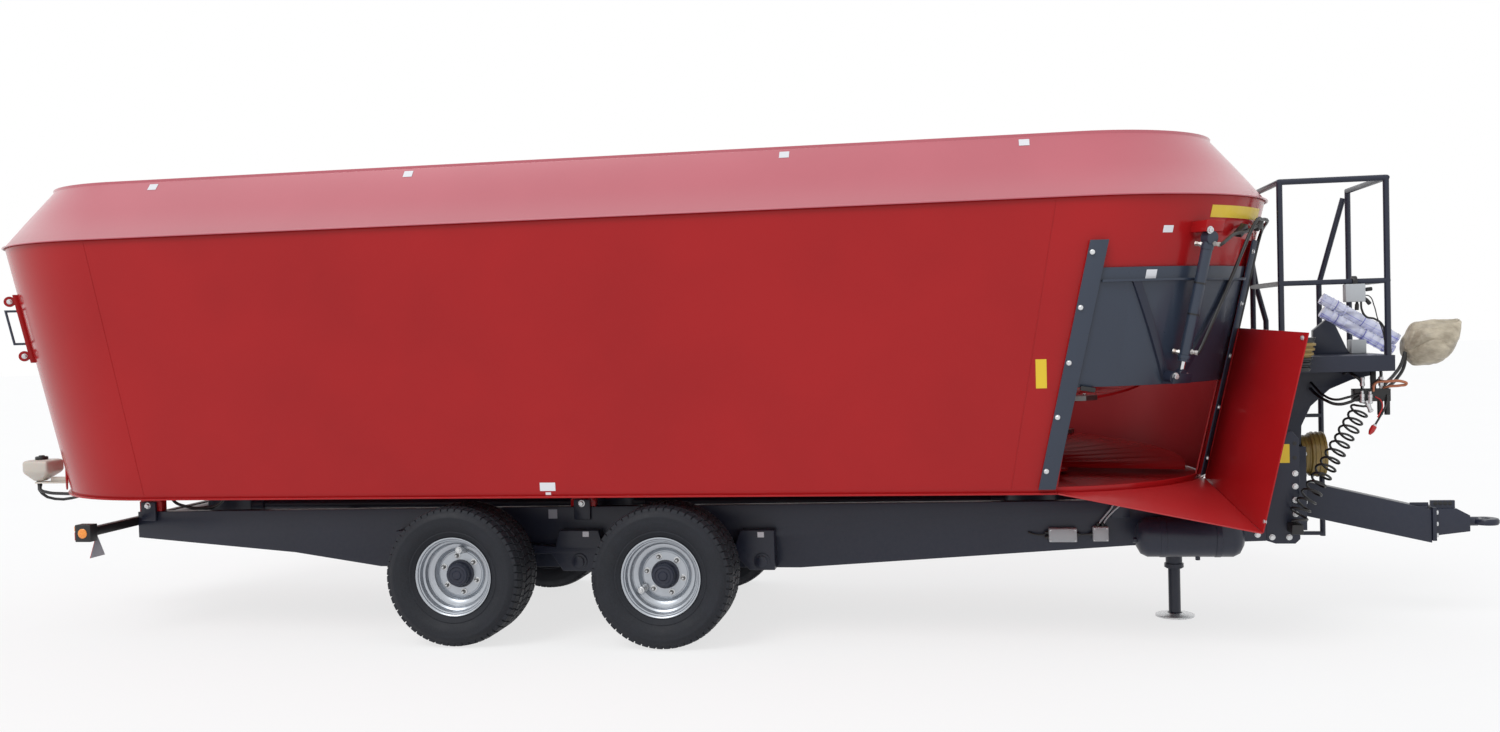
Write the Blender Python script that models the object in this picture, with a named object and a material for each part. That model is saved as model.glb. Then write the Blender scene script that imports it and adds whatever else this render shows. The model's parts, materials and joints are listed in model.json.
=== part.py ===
# Feed mixer wagon: three upright augers in a long oval hopper on a tandem axle,
# with a sliding discharge door at the front right corner.
# Metres, +Z up, +X forward to the hitch. The jack's foot stands at the origin.
import math

import bmesh
import bpy
from mathutils import Vector

# Sizes that drive everything
SEAT = 0.0003  # gap between pieces that touch

# hopper: straight sides with a round end at the front and at the rear
FLOOR_LOW = 0.985
FLOOR_HIGH = 0.997
SEAM_Z = 2.78
TOP_Z = 3.215
RADIUS_LOW = 1.13
RADIUS_SEAM = 1.25
RADIUS_TOP = 0.915
FRONT_LOW_X = -0.95
REAR_LOW_X = -6.98
END_LEAN = 0.305  # how far each end's centre moves outward from the floor to the seam
SHEET = 0.010
STEP_DEG = 6

# door in the front right corner; angles run from the right side (0) to the front (90)
DOOR_FROM = 6
DOOR_TO = 66
DOOR_LOW_Z = 1.03
DOOR_HIGH_Z = 1.745
DOOR_REST_Z = 1.64
DOOR_TALL = 0.715

# running gear
WHEEL_R = 0.4655
TYRE_WIDTH = 0.435
WHEEL_OUT_Y = 1.20
AXLE_X = (-3.33, -4.74)

# chassis
BEAM_IN = 0.44
BEAM_OUT = 0.52
BEAM_REAR_X = -7.46
BEAM_FRONT_X = 0.50
DRIVE_Z = 0.80

AUGER_X = (FRONT_LOW_X, (FRONT_LOW_X + REAR_LOW_X) / 2, REAR_LOW_X)

for old in list(bpy.data.objects):
    bpy.data.objects.remove(old, do_unlink=True)


# Materials
def material(name, colour, roughness, metallic=0.0):
    made = bpy.data.materials.new(name)
    made.use_nodes = True
    shader = made.node_tree.nodes["Principled BSDF"]
    shader.inputs["Base Color"].default_value = (*colour, 1.0)
    shader.inputs["Roughness"].default_value = roughness
    shader.inputs["Metallic"].default_value = metallic
    return made


RED = material("red_paint", (0.35, 0.02, 0.022), 0.35)
GREY = material("anthracite_paint", (0.045, 0.052, 0.066), 0.5)
DOOR_GREY = material("door_grey_paint", (0.075, 0.085, 0.10), 0.45)
SILVER = material("silver_rim_paint", (0.38, 0.39, 0.40), 0.4, 0.3)
RUBBER = material("tyre_rubber", (0.012, 0.012, 0.013), 0.85)
STEEL = material("bare_steel", (0.45, 0.45, 0.46), 0.35, 0.9)
BLACK = material("black_plastic", (0.015, 0.015, 0.016), 0.5)
HOSE = material("hose_rubber", (0.01, 0.01, 0.011), 0.6)
OLIVE = material("olive_guard", (0.20, 0.14, 0.035), 0.5)
PALE = material("pale_plastic", (0.55, 0.52, 0.46), 0.5)
LIGHT_GREY = material("light_grey_box", (0.50, 0.52, 0.53), 0.5)
PAPER = material("tan_paper", (0.30, 0.23, 0.13), 0.8)
FILM = material("blue_film", (0.42, 0.48, 0.66), 0.2)
RED_LENS = material("red_reflector", (0.45, 0.02, 0.02), 0.3)


# Ways to make a solid
def solid(name, verts, faces, look, smooth=None):
    """One closed mesh from points and faces; smooth is an angle in degrees, or None for flat."""
    mesh = bpy.data.meshes.new(name)
    mesh.from_pydata([tuple(v) for v in verts], [], [tuple(f) for f in faces])
    work = bmesh.new()
    work.from_mesh(mesh)
    bmesh.ops.remove_doubles(work, verts=work.verts, dist=0.00002)
    bmesh.ops.recalc_face_normals(work, faces=work.faces)
    work.to_mesh(mesh)
    work.free()
    mesh.materials.append(look)
    thing = bpy.data.objects.new(name, mesh)
    bpy.context.scene.collection.objects.link(thing)
    if smooth:
        soften(thing, smooth)
    return thing


def soften(thing, degrees):
    """Shades round faces smooth and keeps edges over the angle sharp."""
    mesh = thing.data
    work = bmesh.new()
    work.from_mesh(mesh)
    for face in work.faces:
        face.smooth = True
    for edge in work.edges:
        if len(edge.link_faces) == 2:
            edge.smooth = edge.calc_face_angle(0.0) < math.radians(degrees)
    work.to_mesh(mesh)
    work.free()


def box(name, x, y, z, look):
    """A box from three (low, high) pairs."""
    verts = [(a, b, c) for c in z for b in y for a in x]
    faces = [(0, 2, 3, 1), (4, 5, 7, 6), (0, 1, 5, 4), (2, 6, 7, 3), (0, 4, 6, 2), (1, 3, 7, 5)]
    return solid(name, verts, faces, look)


def prism(name, outline, y, look):
    """A side outline of (x, z) points run across from y[0] to y[1]."""
    count = len(outline)
    verts = [(px, y[0], pz) for px, pz in outline] + [(px, y[1], pz) for px, pz in outline]
    faces = [tuple(range(count)), tuple(range(2 * count - 1, count - 1, -1))]
    for i in range(count):
        j = (i + 1) % count
        faces.append((i, i + count, j + count, j))
    return solid(name, verts, faces, look)


def plan(name, outline, z, look):
    """A plan outline of (x, y) points run up from z[0] to z[1]."""
    count = len(outline)
    verts = [(px, py, z[0]) for px, py in outline] + [(px, py, z[1]) for px, py in outline]
    faces = [tuple(range(count)), tuple(range(2 * count - 1, count - 1, -1))]
    for i in range(count):
        j = (i + 1) % count
        faces.append((i, i + count, j + count, j))
    return solid(name, verts, faces, look)


def turned(name, profile, centre, axis, look, sides=32, smooth=35):
    """Turns (radius, distance along the axis) points about an axis through the centre."""
    along = Vector(axis).normalized()
    side = Vector((0, 0, 1)) if abs(along.z) < 0.9 else Vector((1, 0, 0))
    u = along.cross(side).normalized()
    v = along.cross(u)
    start = Vector(centre)
    verts = []
    rings = []
    for radius, reach in profile:
        ring = []
        if radius < 1e-6:
            verts.append(start + along * reach)
            ring = [len(verts) - 1] * sides
        else:
            for k in range(sides):
                turn = 2 * math.pi * k / sides
                verts.append(start + along * reach + (u * math.cos(turn) + v * math.sin(turn)) * radius)
                ring.append(len(verts) - 1)
        rings.append(ring)
    faces = []
    closed = profile[0][0] > 1e-6 and profile[-1][0] > 1e-6
    spans = len(rings) if closed else len(rings) - 1
    for i in range(spans):
        low = rings[i]
        high = rings[(i + 1) % len(rings)]
        for k in range(sides):
            m = (k + 1) % sides
            corners = [low[k], low[m], high[m], high[k]]
            face = []
            for corner in corners:
                if corner not in face:
                    face.append(corner)
            if len(face) > 2:
                faces.append(face)
    return solid(name, verts, faces, look, smooth)


def rod(name, start, end, radius, look, sides=16, bore=0.0, bore_to=None):
    """A round bar, or a tube with a bore from its end down to bore_to of its length."""
    a = Vector(start)
    b = Vector(end)
    length = (b - a).length
    if bore <= 0:
        profile = [(0, 0), (radius, 0), (radius, length), (0, length)]
    elif bore_to is None:
        profile = [(bore, 0), (radius, 0), (radius, length), (bore, length)]
    else:
        profile = [(0, 0), (radius, 0), (radius, length), (bore, length), (bore, bore_to), (0, bore_to)]
    return turned(name, profile, a, b - a, look, sides)


PIPE_SIDES = 10


def pipe(name, points, radius, look, sides=PIPE_SIDES, smooth=50):
    """A round bar bent through the points, mitred at each."""
    path = [Vector(p) for p in points]
    last = len(path) - 1
    ways = [(path[i + 1] - path[i]).normalized() for i in range(last)]
    first = ways[0]
    side = Vector((0, 0, 1)) if abs(first.z) < 0.9 else Vector((1, 0, 0))
    u = first.cross(side).normalized()
    verts = []
    rings = []
    for i, spot in enumerate(path):
        before = ways[max(i - 1, 0)]
        after = ways[min(i, last - 1)]
        if 0 < i < last:
            u = before.rotation_difference(after) @ u
        v = after.cross(u)
        normal = (before + after).normalized()
        ring = []
        for k in range(sides):
            turn = 2 * math.pi * k / sides
            arm = (u * math.cos(turn) + v * math.sin(turn)) * radius
            arm = arm - after * (arm.dot(normal) / after.dot(normal))
            verts.append(spot + arm)
            ring.append(len(verts) - 1)
        rings.append(ring)
    faces = [tuple(rings[0]), tuple(reversed(rings[-1]))]
    for low, high in zip(rings, rings[1:]):
        for k in range(sides):
            m = (k + 1) % sides
            faces.append((low[k], high[k], high[m], low[m]))
    return solid(name, verts, faces, look, smooth)


def combine(target, others, how="UNION", smooth=None):
    """Joins or cuts the target with the others, and removes them."""
    for other in others:
        step = target.modifiers.new("step", "BOOLEAN")
        step.operation = how
        step.solver = "EXACT"
        step.object = other
        view = bpy.context.evaluated_depsgraph_get()
        fresh = bpy.data.meshes.new_from_object(target.evaluated_get(view))
        target.modifiers.clear()
        looks = list(target.data.materials)
        target.data = fresh
        fresh.materials.clear()
        fresh.materials.append(looks[0])
        work = bmesh.new()
        work.from_mesh(fresh)
        bmesh.ops.remove_doubles(work, verts=work.verts, dist=0.00002)
        bmesh.ops.dissolve_degenerate(work, edges=work.edges, dist=0.00001)
        for face in work.faces:
            face.material_index = 0
        work.to_mesh(fresh)
        work.free()
        bpy.data.objects.remove(other, do_unlink=True)
    if smooth:
        soften(target, smooth)
    return target


# The hopper's surface
def share(z):
    """How far up from the floor to the seam."""
    return (z - FLOOR_HIGH) / (SEAM_Z - FLOOR_HIGH)


def radius_at(z):
    return RADIUS_LOW + (RADIUS_SEAM - RADIUS_LOW) * share(z)


def front_x(z):
    return FRONT_LOW_X + END_LEAN * share(z)


def rear_x(z):
    return REAR_LOW_X - END_LEAN * share(z)


def facet(degrees):
    """How far in the flat between two of the wall's corners lies, as a share of the radius."""
    inside = degrees % STEP_DEG - STEP_DEG / 2
    return math.cos(math.radians(STEP_DEG / 2)) / math.cos(math.radians(inside))


def front_skin(degrees, z, off=0.0):
    """A point on the front end, a distance off the outer face."""
    turn = math.radians(degrees)
    reach = radius_at(z) * facet(degrees) + off
    return Vector((front_x(z) + reach * math.sin(turn), -reach * math.cos(turn), z))


def rear_skin(degrees, z, off=0.0):
    """The same on the rear end: 0 is the right side and 90 the rear."""
    turn = math.radians(degrees)
    reach = radius_at(z) * facet(degrees) + off
    return Vector((rear_x(z) - reach * math.sin(turn), -reach * math.cos(turn), z))


def skin_block(name, skin, angles, heights, offs, look, smooth=None):
    """A curved block on an end's surface between angles, heights and offsets."""
    corners = [a for a in range(0, 181, STEP_DEG) if angles[0] + 0.2 < a < angles[1] - 0.2]
    stations = [angles[0]] + corners + [angles[1]]
    count = len(stations) - 1
    verts = []
    for turn in stations:
        for off in offs:
            for z in heights:
                verts.append(skin(turn, z, off))
    faces = [(0, 1, 3, 2)]
    for k in range(count):
        a = 4 * k
        b = a + 4
        for p, q in ((0, 1), (1, 3), (3, 2), (2, 0)):
            faces.append((a + p, a + q, b + q, b + p))
    end = 4 * count
    faces.append((end, end + 2, end + 3, end + 1))
    return solid(name, verts, faces, look, smooth)


cap_angles = list(range(0, 181, STEP_DEG))


def stadium(radius, front, rear):
    """The oval in plan: right side to front end to left side to rear end."""
    turns = [math.radians(a) for a in cap_angles]
    points = [(front + radius * math.sin(turn), -radius * math.cos(turn)) for turn in turns]
    points += [(rear - radius * math.sin(turn), radius * math.cos(turn)) for turn in turns]
    return points


def oval_ring(name, section, look, smooth=None):
    """Sweeps a closed section of (radius, z, front centre, rear centre) round the oval."""
    rings = [stadium(radius, front, rear) for radius, _, front, rear in section]
    count = len(rings[0])
    rows = len(section)
    verts = [(rings[i][j][0], rings[i][j][1], section[i][1]) for j in range(count) for i in range(rows)]
    faces = []
    for j in range(count):
        m = (j + 1) % count
        for i in range(rows):
            n = (i + 1) % rows
            faces.append((j * rows + i, m * rows + i, m * rows + n, j * rows + n))
    return solid(name, verts, faces, look, smooth)


def hopper_wall():
    """The side wall as inner and outer skins, open where the door is."""
    heights = (FLOOR_HIGH + SEAT, DOOR_LOW_Z, DOOR_HIGH_Z, SEAM_Z)
    columns = len(cap_angles) * 2
    verts = []
    for off in (0.0, -SHEET):
        for z in heights:
            oval = stadium(radius_at(z) + off, front_x(z), rear_x(z))
            verts += [(px, py, z) for px, py in oval]

    def quad(*corners):
        return tuple((skin * len(heights) + row) * columns + c % columns for skin, row, c in corners)

    def kept(row, column):
        if row < 0 or row > 2:
            return False
        column %= columns
        in_door = DOOR_FROM // STEP_DEG <= column < DOOR_TO // STEP_DEG
        return not (row == 1 and in_door)

    faces = []
    for row in range(3):
        for c in range(columns):
            if not kept(row, c):
                continue
            up = row + 1
            n = c + 1
            for skin in (0, 1):
                faces.append(quad((skin, row, c), (skin, row, n), (skin, up, n), (skin, up, c)))
            if not kept(row - 1, c):
                faces.append(quad((0, row, c), (0, row, n), (1, row, n), (1, row, c)))
            if not kept(up, c):
                faces.append(quad((0, up, c), (0, up, n), (1, up, n), (1, up, c)))
            if not kept(row, c - 1):
                faces.append(quad((0, row, c), (0, up, c), (1, up, c), (1, row, c)))
            if not kept(row, n):
                faces.append(quad((0, row, n), (0, up, n), (1, up, n), (1, row, n)))
    return solid("hopper_wall", verts, faces, RED, 30)


hopper_wall()
FLOOR_LIP = 0.02
floor_outline = stadium(RADIUS_LOW + FLOOR_LIP, FRONT_LOW_X, REAR_LOW_X)
floor = plan("hopper_floor", floor_outline, (FLOOR_LOW, FLOOR_HIGH), RED)
HUB_HOLE = 0.12
for x in AUGER_X:
    cutter = rod("cutter", (x, 0, 0.9), (x, 0, 1.1), HUB_HOLE, RED, 24)
    combine(floor, [cutter], "DIFFERENCE")

seam_f = front_x(SEAM_Z)
seam_r = rear_x(SEAM_Z)
LIP = 0.025
oval_ring("hopper_collar", [
    (RADIUS_SEAM - SHEET, SEAM_Z + SEAT, seam_f, seam_r),
    (RADIUS_SEAM + LIP, SEAM_Z + SEAT, seam_f, seam_r),
    (RADIUS_SEAM + LIP, SEAM_Z + 0.014, seam_f, seam_r),
    (RADIUS_SEAM, SEAM_Z + 0.016, seam_f, seam_r),
    (RADIUS_TOP, TOP_Z - 0.018, seam_f, seam_r),
    (RADIUS_TOP + 0.008, TOP_Z - 0.018, seam_f, seam_r),
    (RADIUS_TOP + 0.008, TOP_Z, seam_f, seam_r),
    (RADIUS_TOP - 0.014, TOP_Z, seam_f, seam_r),
    (RADIUS_TOP - 0.014, TOP_Z - 0.020, seam_f, seam_r),
    (RADIUS_SEAM - SHEET, SEAM_Z + 0.010, seam_f, seam_r),
], RED, 30)

# Augers: a core with a helical flight that narrows upward, and knives along its edge
CORE_LOW_Z = 1.016  # the core turns on its gearbox's output flange
FLIGHT_FROM_Z = 1.035
FLIGHT_TO_Z = 2.12
FLIGHT_TURNS = 1.85
FLIGHT_STEPS = 60
FLIGHT_WIDE = 1.03
FLIGHT_NARROW = 0.36
FLIGHT_ROOT = 0.08  # the flight reaches this far into the core
FLIGHT_THICK = 0.016
FULL_TURNS = 0.5  # the flight keeps its full width this long
KNIFE_TURNS = (0.25, 0.55, 0.85, 1.15, 1.45, 1.70)
KNIFE_THICK = 0.030


def flight_radius(turns):
    """Full width for the first half turn, then narrowing to the top."""
    part = min(max((turns - FULL_TURNS) / (FLIGHT_TURNS - FULL_TURNS), 0.0), 1.0)
    return FLIGHT_WIDE + (FLIGHT_NARROW - FLIGHT_WIDE) * part


def flight_z(turns):
    return FLIGHT_FROM_Z + (FLIGHT_TO_Z - FLIGHT_FROM_Z) * turns / FLIGHT_TURNS


def strip_faces(count):
    """Triangles round a bar of four corners a station, with both ends closed."""
    faces = [(0, 1, 3), (0, 3, 2)]
    for k in range(count):
        a = 4 * k
        b = a + 4
        for p, q in ((0, 1), (1, 3), (3, 2), (2, 0)):
            faces.append((a + p, a + q, b + q))
            faces.append((a + p, b + q, b + p))
    end = 4 * count
    faces += [(end, end + 2, end + 3), (end, end + 3, end + 1)]
    return faces


def auger(name, x, lead):
    core = turned(name, [
        (0, CORE_LOW_Z), (0.26, CORE_LOW_Z), (0.26, 1.032), (0.17, 1.045), (0.155, 1.30),
        (0.105, 2.22), (0.06, 2.25), (0, 2.25),
    ], (x, 0, 0), (0, 0, 1), RED, 24)
    verts = []
    for k in range(FLIGHT_STEPS + 1):
        turns = FLIGHT_TURNS * k / FLIGHT_STEPS
        turn = math.radians(lead) + 2 * math.pi * turns
        z = flight_z(turns)
        for radius in (FLIGHT_ROOT, flight_radius(turns)):
            for rise in (0, FLIGHT_THICK):
                verts.append((x + radius * math.cos(turn), radius * math.sin(turn), z + rise))
    flight = solid("flight", verts, strip_faces(FLIGHT_STEPS), RED)
    knives = []
    for turns in KNIFE_TURNS:
        turn = math.radians(lead) + 2 * math.pi * turns
        out = Vector((math.cos(turn), math.sin(turn), 0))
        across = Vector((-math.sin(turn), math.cos(turn), 0))
        middle = Vector((x, 0, flight_z(turns)))
        edge = flight_radius(turns)
        corners = [
            (edge - 0.10, -0.10), (edge + 0.03, -0.10), (edge + 0.05, 0.0), (edge, 0.10), (edge - 0.10, 0.07),
        ]
        low = [middle + out * a + across * b + Vector((0, 0, 0.004)) for a, b in corners]
        high = [spot + Vector((0, 0, KNIFE_THICK)) for spot in low]
        size = len(corners)
        faces = [tuple(range(size)), tuple(range(size, 2 * size))]
        faces += [(i, (i + 1) % size, (i + 1) % size + size, i + size) for i in range(size)]
        knives.append(solid("knife", low + high, faces, RED))
    return combine(core, [flight] + knives, "UNION", 35)


for name, x, lead in (
    ("auger_front", AUGER_X[0], 345),
    ("auger_middle", AUGER_X[1], 80),
    ("auger_rear", AUGER_X[2], 320),
):
    auger(name, x, lead)

# Gearboxes under the floor and the shafts between them
BOSS = 0.27
FLANGE_R = HUB_HOLE - 0.012
TRANSFER_REAR_X = 0.52
for name, x, reach, ahead in (
    ("gearbox_front", AUGER_X[0], (-BOSS, BOSS), TRANSFER_REAR_X - SEAT),
    ("gearbox_middle", AUGER_X[1], (-BOSS, BOSS), AUGER_X[0] - BOSS - SEAT),
    ("gearbox_rear", AUGER_X[2], (-0.18, BOSS), AUGER_X[1] - BOSS - SEAT),
):
    body = turned(name, [
        (0, 0.66), (0.10, 0.66), (0.17, 0.69), (0.20, 0.74), (0.20, 0.94), (0.28, 0.95),
        (0.28, FLOOR_LOW - SEAT), (FLANGE_R, FLOOR_LOW - SEAT),
        (FLANGE_R, CORE_LOW_Z - 0.0005), (0, CORE_LOW_Z - 0.0005),
    ], (x, 0, 0), (0, 0, 1), GREY, 24)
    boss = rod("boss", (x + reach[0], 0, DRIVE_Z), (x + reach[1], 0, DRIVE_Z), 0.085, GREY, 16)
    shaft = rod("shaft", (x + BOSS - 0.02, 0, DRIVE_Z), (ahead, 0, DRIVE_Z), 0.055, GREY, 16)
    combine(body, [boss, shaft], "UNION", 35)

# Chassis
BEAM_TOP_REAR = 0.82
BEAM_TOP_FRONT = 0.87
AXLE_CLEAR = 0.20
NOTCH_Z = 0.585
BELLY_Z = 0.42


def beam_top(x):
    part = (x - BEAM_REAR_X) / (BEAM_FRONT_X - BEAM_REAR_X)
    return BEAM_TOP_REAR + (BEAM_TOP_FRONT - BEAM_TOP_REAR) * part


beam_side = [(BEAM_REAR_X, 0.63), (-6.21, 0.52), (-5.55, BELLY_Z)]
for axle in reversed(AXLE_X):
    beam_side += [
        (axle - AXLE_CLEAR - 0.06, BELLY_Z), (axle - AXLE_CLEAR, NOTCH_Z),
        (axle + AXLE_CLEAR, NOTCH_Z), (axle + AXLE_CLEAR + 0.06, BELLY_Z),
    ]
beam_side += [(-2.51, BELLY_Z), (-0.34, 0.57), (BEAM_FRONT_X - SEAT, 0.60)]
beam_side += [(BEAM_FRONT_X - SEAT, BEAM_TOP_FRONT), (BEAM_REAR_X, BEAM_TOP_REAR)]
SIDES = (("right", -1), ("left", 1))
chassis = prism("chassis_frame", beam_side, (-BEAM_OUT, -BEAM_IN), GREY)
members = [prism("beam", beam_side, (BEAM_IN, BEAM_OUT), GREY)]

JACK_TUBE_R = 0.055
for name, x, z in (
    ("rear", (-7.42, -7.30), (0.66, 0.78)),
    ("mid_rear", (-6.02, -5.90), (0.54, 0.68)),
    ("axles", (-4.10, -3.97), (0.50, 0.64)),
    ("mid_front", (-2.32, -2.20), (0.54, 0.68)),
    ("jack", (JACK_TUBE_R + SEAT, 0.18), (0.61, 0.71)),
):
    members.append(box(name, x, (-BEAM_IN - 0.01, BEAM_IN + 0.01), z, GREY))
combine(chassis, members)

CELL_HALF = 0.09
for place, x in (("rear", -7.36), ("middle", -4.03), ("front", -0.40)):
    for side, way in SIDES:
        back, ahead = x - CELL_HALF, x + CELL_HALF
        stand = prism("stand", [
            (back, beam_top(back) + SEAT), (ahead, beam_top(ahead) + SEAT), (ahead, 0.895),
            (x + 0.05, 0.915), (x + 0.05, FLOOR_LOW + 0.004), (x - 0.05, FLOOR_LOW + 0.004),
            (x - 0.05, 0.915), (back, 0.895),
        ], (way * 0.45, way * 0.51), RED)
        pin = rod("pin", (x, way * 0.437, 0.931), (x, way * 0.541, 0.931), 0.018, RED, 14)
        combine(floor, [combine(stand, [pin])])

# Suspension, axles and wheels
AXLE_HALF = 0.055
SPRING_LOW = WHEEL_R + AXLE_HALF + SEAT
front_axle, rear_axle = AXLE_X
middle_x = (front_axle + rear_axle) / 2
spring_side = [
    (-2.67, 0.42), (-2.67, 0.69), (-2.90, 0.69), (-2.94, 0.575),
    (front_axle + 0.06, 0.615), (front_axle - 0.06, 0.615),
    (middle_x + 0.17, 0.575), (middle_x + 0.14, 0.69), (middle_x - 0.14, 0.69), (middle_x - 0.17, 0.575),
    (rear_axle + 0.06, 0.615), (rear_axle - 0.06, 0.615),
    (-5.13, 0.575), (-5.17, 0.69), (-5.38, 0.69), (-5.38, 0.44), (-5.22, 0.44), (-5.12, 0.53),
    (rear_axle - 0.06, SPRING_LOW), (rear_axle + 0.06, SPRING_LOW),
    (middle_x - 0.20, 0.53), (middle_x - 0.12, 0.41), (middle_x + 0.12, 0.41), (middle_x + 0.20, 0.53),
    (front_axle - 0.06, SPRING_LOW), (front_axle + 0.06, SPRING_LOW), (-2.95, 0.53), (-2.84, 0.42),
]
for side, way in SIDES:
    prism("suspension_" + side, spring_side, (way * (BEAM_OUT + SEAT), way * 0.62), GREY)

WHEEL_MID_Y = WHEEL_OUT_Y - TYRE_WIDTH / 2
SPINDLE_R = 0.036
HUB_BORE = 0.0366
for name, x in (("axle_front", front_axle), ("axle_rear", rear_axle)):
    beam_z = (WHEEL_R - AXLE_HALF, WHEEL_R + AXLE_HALF)
    beam = box(name, (x - AXLE_HALF, x + AXLE_HALF), (-0.72, 0.72), beam_z, GREY)
    spindle = rod("spindle", (x, -0.96, WHEEL_R), (x, 0.96, WHEEL_R), SPINDLE_R, STEEL, 16)
    combine(beam, [spindle], "UNION", 35)

BEAD_R = 0.262
WHEEL_SIDES = 32
half = TYRE_WIDTH / 2
TYRE_SECTION = [
    (BEAD_R, -0.165), (0.300, -0.190), (0.370, -half), (0.430, -0.205), (0.4585, -0.165),
    (WHEEL_R, -0.08), (WHEEL_R, 0.08),
    (0.4585, 0.165), (0.430, 0.205), (0.370, half), (0.300, 0.190), (BEAD_R, 0.165),
]
DISC_AT = 0.035
# The wheel: a barrel under the tyre, a disc set in from the outer face, and a hub bored for its spindle
RIM_SECTION = [
    (0, -0.015), (HUB_BORE, -0.015), (HUB_BORE, -0.20), (0.080, -0.20), (0.120, -0.035),
    (0.120, DISC_AT - 0.014), (0.215, DISC_AT - 0.014), (0.236, -0.02), (0.236, -0.150),
    (0.252, -0.1655), (BEAD_R - SEAT, -0.1655), (BEAD_R - SEAT, 0.1655), (0.252, 0.1655),
    (0.238, 0.150), (0.208, DISC_AT), (0.106, DISC_AT),
    (0.075, DISC_AT + 0.012), (0.070, 0.105), (0.055, 0.120), (0, 0.122),
]


def wheel(place, side, x, way):
    centre = (x, way * WHEEL_MID_Y, WHEEL_R)
    tag = "_%s_%s" % (place, side)
    turned("tyre" + tag, TYRE_SECTION, centre, (0, way, 0), RUBBER, WHEEL_SIDES, 30)
    turned("rim" + tag, RIM_SECTION, centre, (0, way, 0), SILVER, WHEEL_SIDES, 35)


for place, x in (("front", front_axle), ("rear", rear_axle)):
    for side, way in SIDES:
        wheel(place, side, x, way)

# Front head: side plates, bulkhead, transfer gearbox, curved arm
HEAD_IN = 0.45
HEAD_OUT = 0.51
HEAD_FRONT_X = 0.71
BULK_X = (0.80, 0.82)
BULK_Z = (0.62, 1.17)
BOX_HALF = 0.20
CHEEK_OUT = 0.216
WING_X = (0.655, 0.675)
# the bulkhead stands in front of the gearbox; its cheeks and wings tie it to the side plates
head = box("front_head", BULK_X, (-CHEEK_OUT, CHEEK_OUT), BULK_Z, GREY)
for side, way in SIDES:
    plate = prism("plate", [
        (BEAM_FRONT_X, 0.60), (0.56, 0.58), (HEAD_FRONT_X - 0.03, 0.58), (HEAD_FRONT_X, 0.61),
        (HEAD_FRONT_X, 1.25), (HEAD_FRONT_X - 0.04, 1.30), (0.64, 1.30), (0.56, 1.12), (BEAM_FRONT_X, 1.02),
    ], (way * HEAD_IN, way * HEAD_OUT), GREY)
    cheek_y = (way * (BOX_HALF + SEAT), way * CHEEK_OUT)
    cheek = box("cheek", (WING_X[0], BULK_X[1]), cheek_y, BULK_Z, GREY)
    wing = box("wing", WING_X, (way * (CHEEK_OUT - 0.01), way * (HEAD_IN + 0.01)), BULK_Z, GREY)
    combine(head, [cheek, wing, plate])
box("transfer_gearbox", (TRANSFER_REAR_X, BULK_X[0] - SEAT), (-BOX_HALF, BOX_HALF), (0.66, 1.16), GREY)
ARM_HALF = 0.10
DECK_LOW = 1.755
PLAT_X = (0.60, 1.29)
PLATE_THICK = 0.012
arm_end = PLAT_X[1] - PLATE_THICK - 0.001
prism("front_arm", [
    (0.56, 1.17 + SEAT), (0.815, 1.17 + SEAT), (0.82, 1.30), (0.88, 1.43), (1.00, 1.54), (1.14, 1.60),
    (arm_end, 1.63), (arm_end, DECK_LOW - SEAT), (0.64, DECK_LOW - SEAT), (0.64, 1.66), (0.58, 1.55),
], (-ARM_HALF, ARM_HALF), GREY)
INPUT_Z = 1.10
turned("input_guard", [
    (0.075, 0), (0.126, 0), (0.130, 0.055), (0.146, 0.062), (0.150, 0.155),
    (0.142, 0.155), (0.137, 0.070), (0.122, 0.062), (0.118, 0.008), (0.075, 0.008),
], (BULK_X[1] + SEAT, 0, INPUT_Z), (1, 0, 0), OLIVE, 20)
rod("input_shaft", (BULK_X[1] + SEAT, 0, INPUT_Z), (BULK_X[1] + 0.11, 0, INPUT_Z), 0.022, STEEL, 16)

# Drawbar and hitch
DRAWBAR_END_X = 1.625
root_x = BULK_X[1] + SEAT
drawbar_side = [(root_x, 0.70), (root_x, 0.93), (DRAWBAR_END_X, 0.735), (DRAWBAR_END_X, 0.515)]
prism("drawbar", drawbar_side, (-0.09, 0.09), GREY)
EYE_X = 1.98
EYE_Z = 0.645
HITCH_X = DRAWBAR_END_X + 0.025
hitch = box("hitch", (DRAWBAR_END_X + SEAT, HITCH_X), (-0.10, 0.10), (0.53, 0.75), GREY)
hitch_side = [(HITCH_X - 0.01, 0.555), (HITCH_X - 0.01, 0.735), (1.79, 0.735), (1.87, 0.69), (1.87, 0.585)]
combine(hitch, [
    prism("block", hitch_side, (-0.05, 0.05), GREY),
    box("rib", (HITCH_X - 0.01, 1.79), (-0.012, 0.012), (0.72, 0.785), GREY),
])
eye = turned("eye", [
    (0.026, -0.02), (0.075, -0.02), (0.082, -0.008), (0.082, 0.008), (0.075, 0.02), (0.026, 0.02),
], (EYE_X, 0, EYE_Z), (0, 0, 1), GREY, 32)
shank = rod("shank", (1.84, 0, EYE_Z), (EYE_X - 0.05, 0, EYE_Z), 0.030, GREY, 20)
combine(hitch, [combine(shank, [eye])], "UNION", 35)

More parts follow.
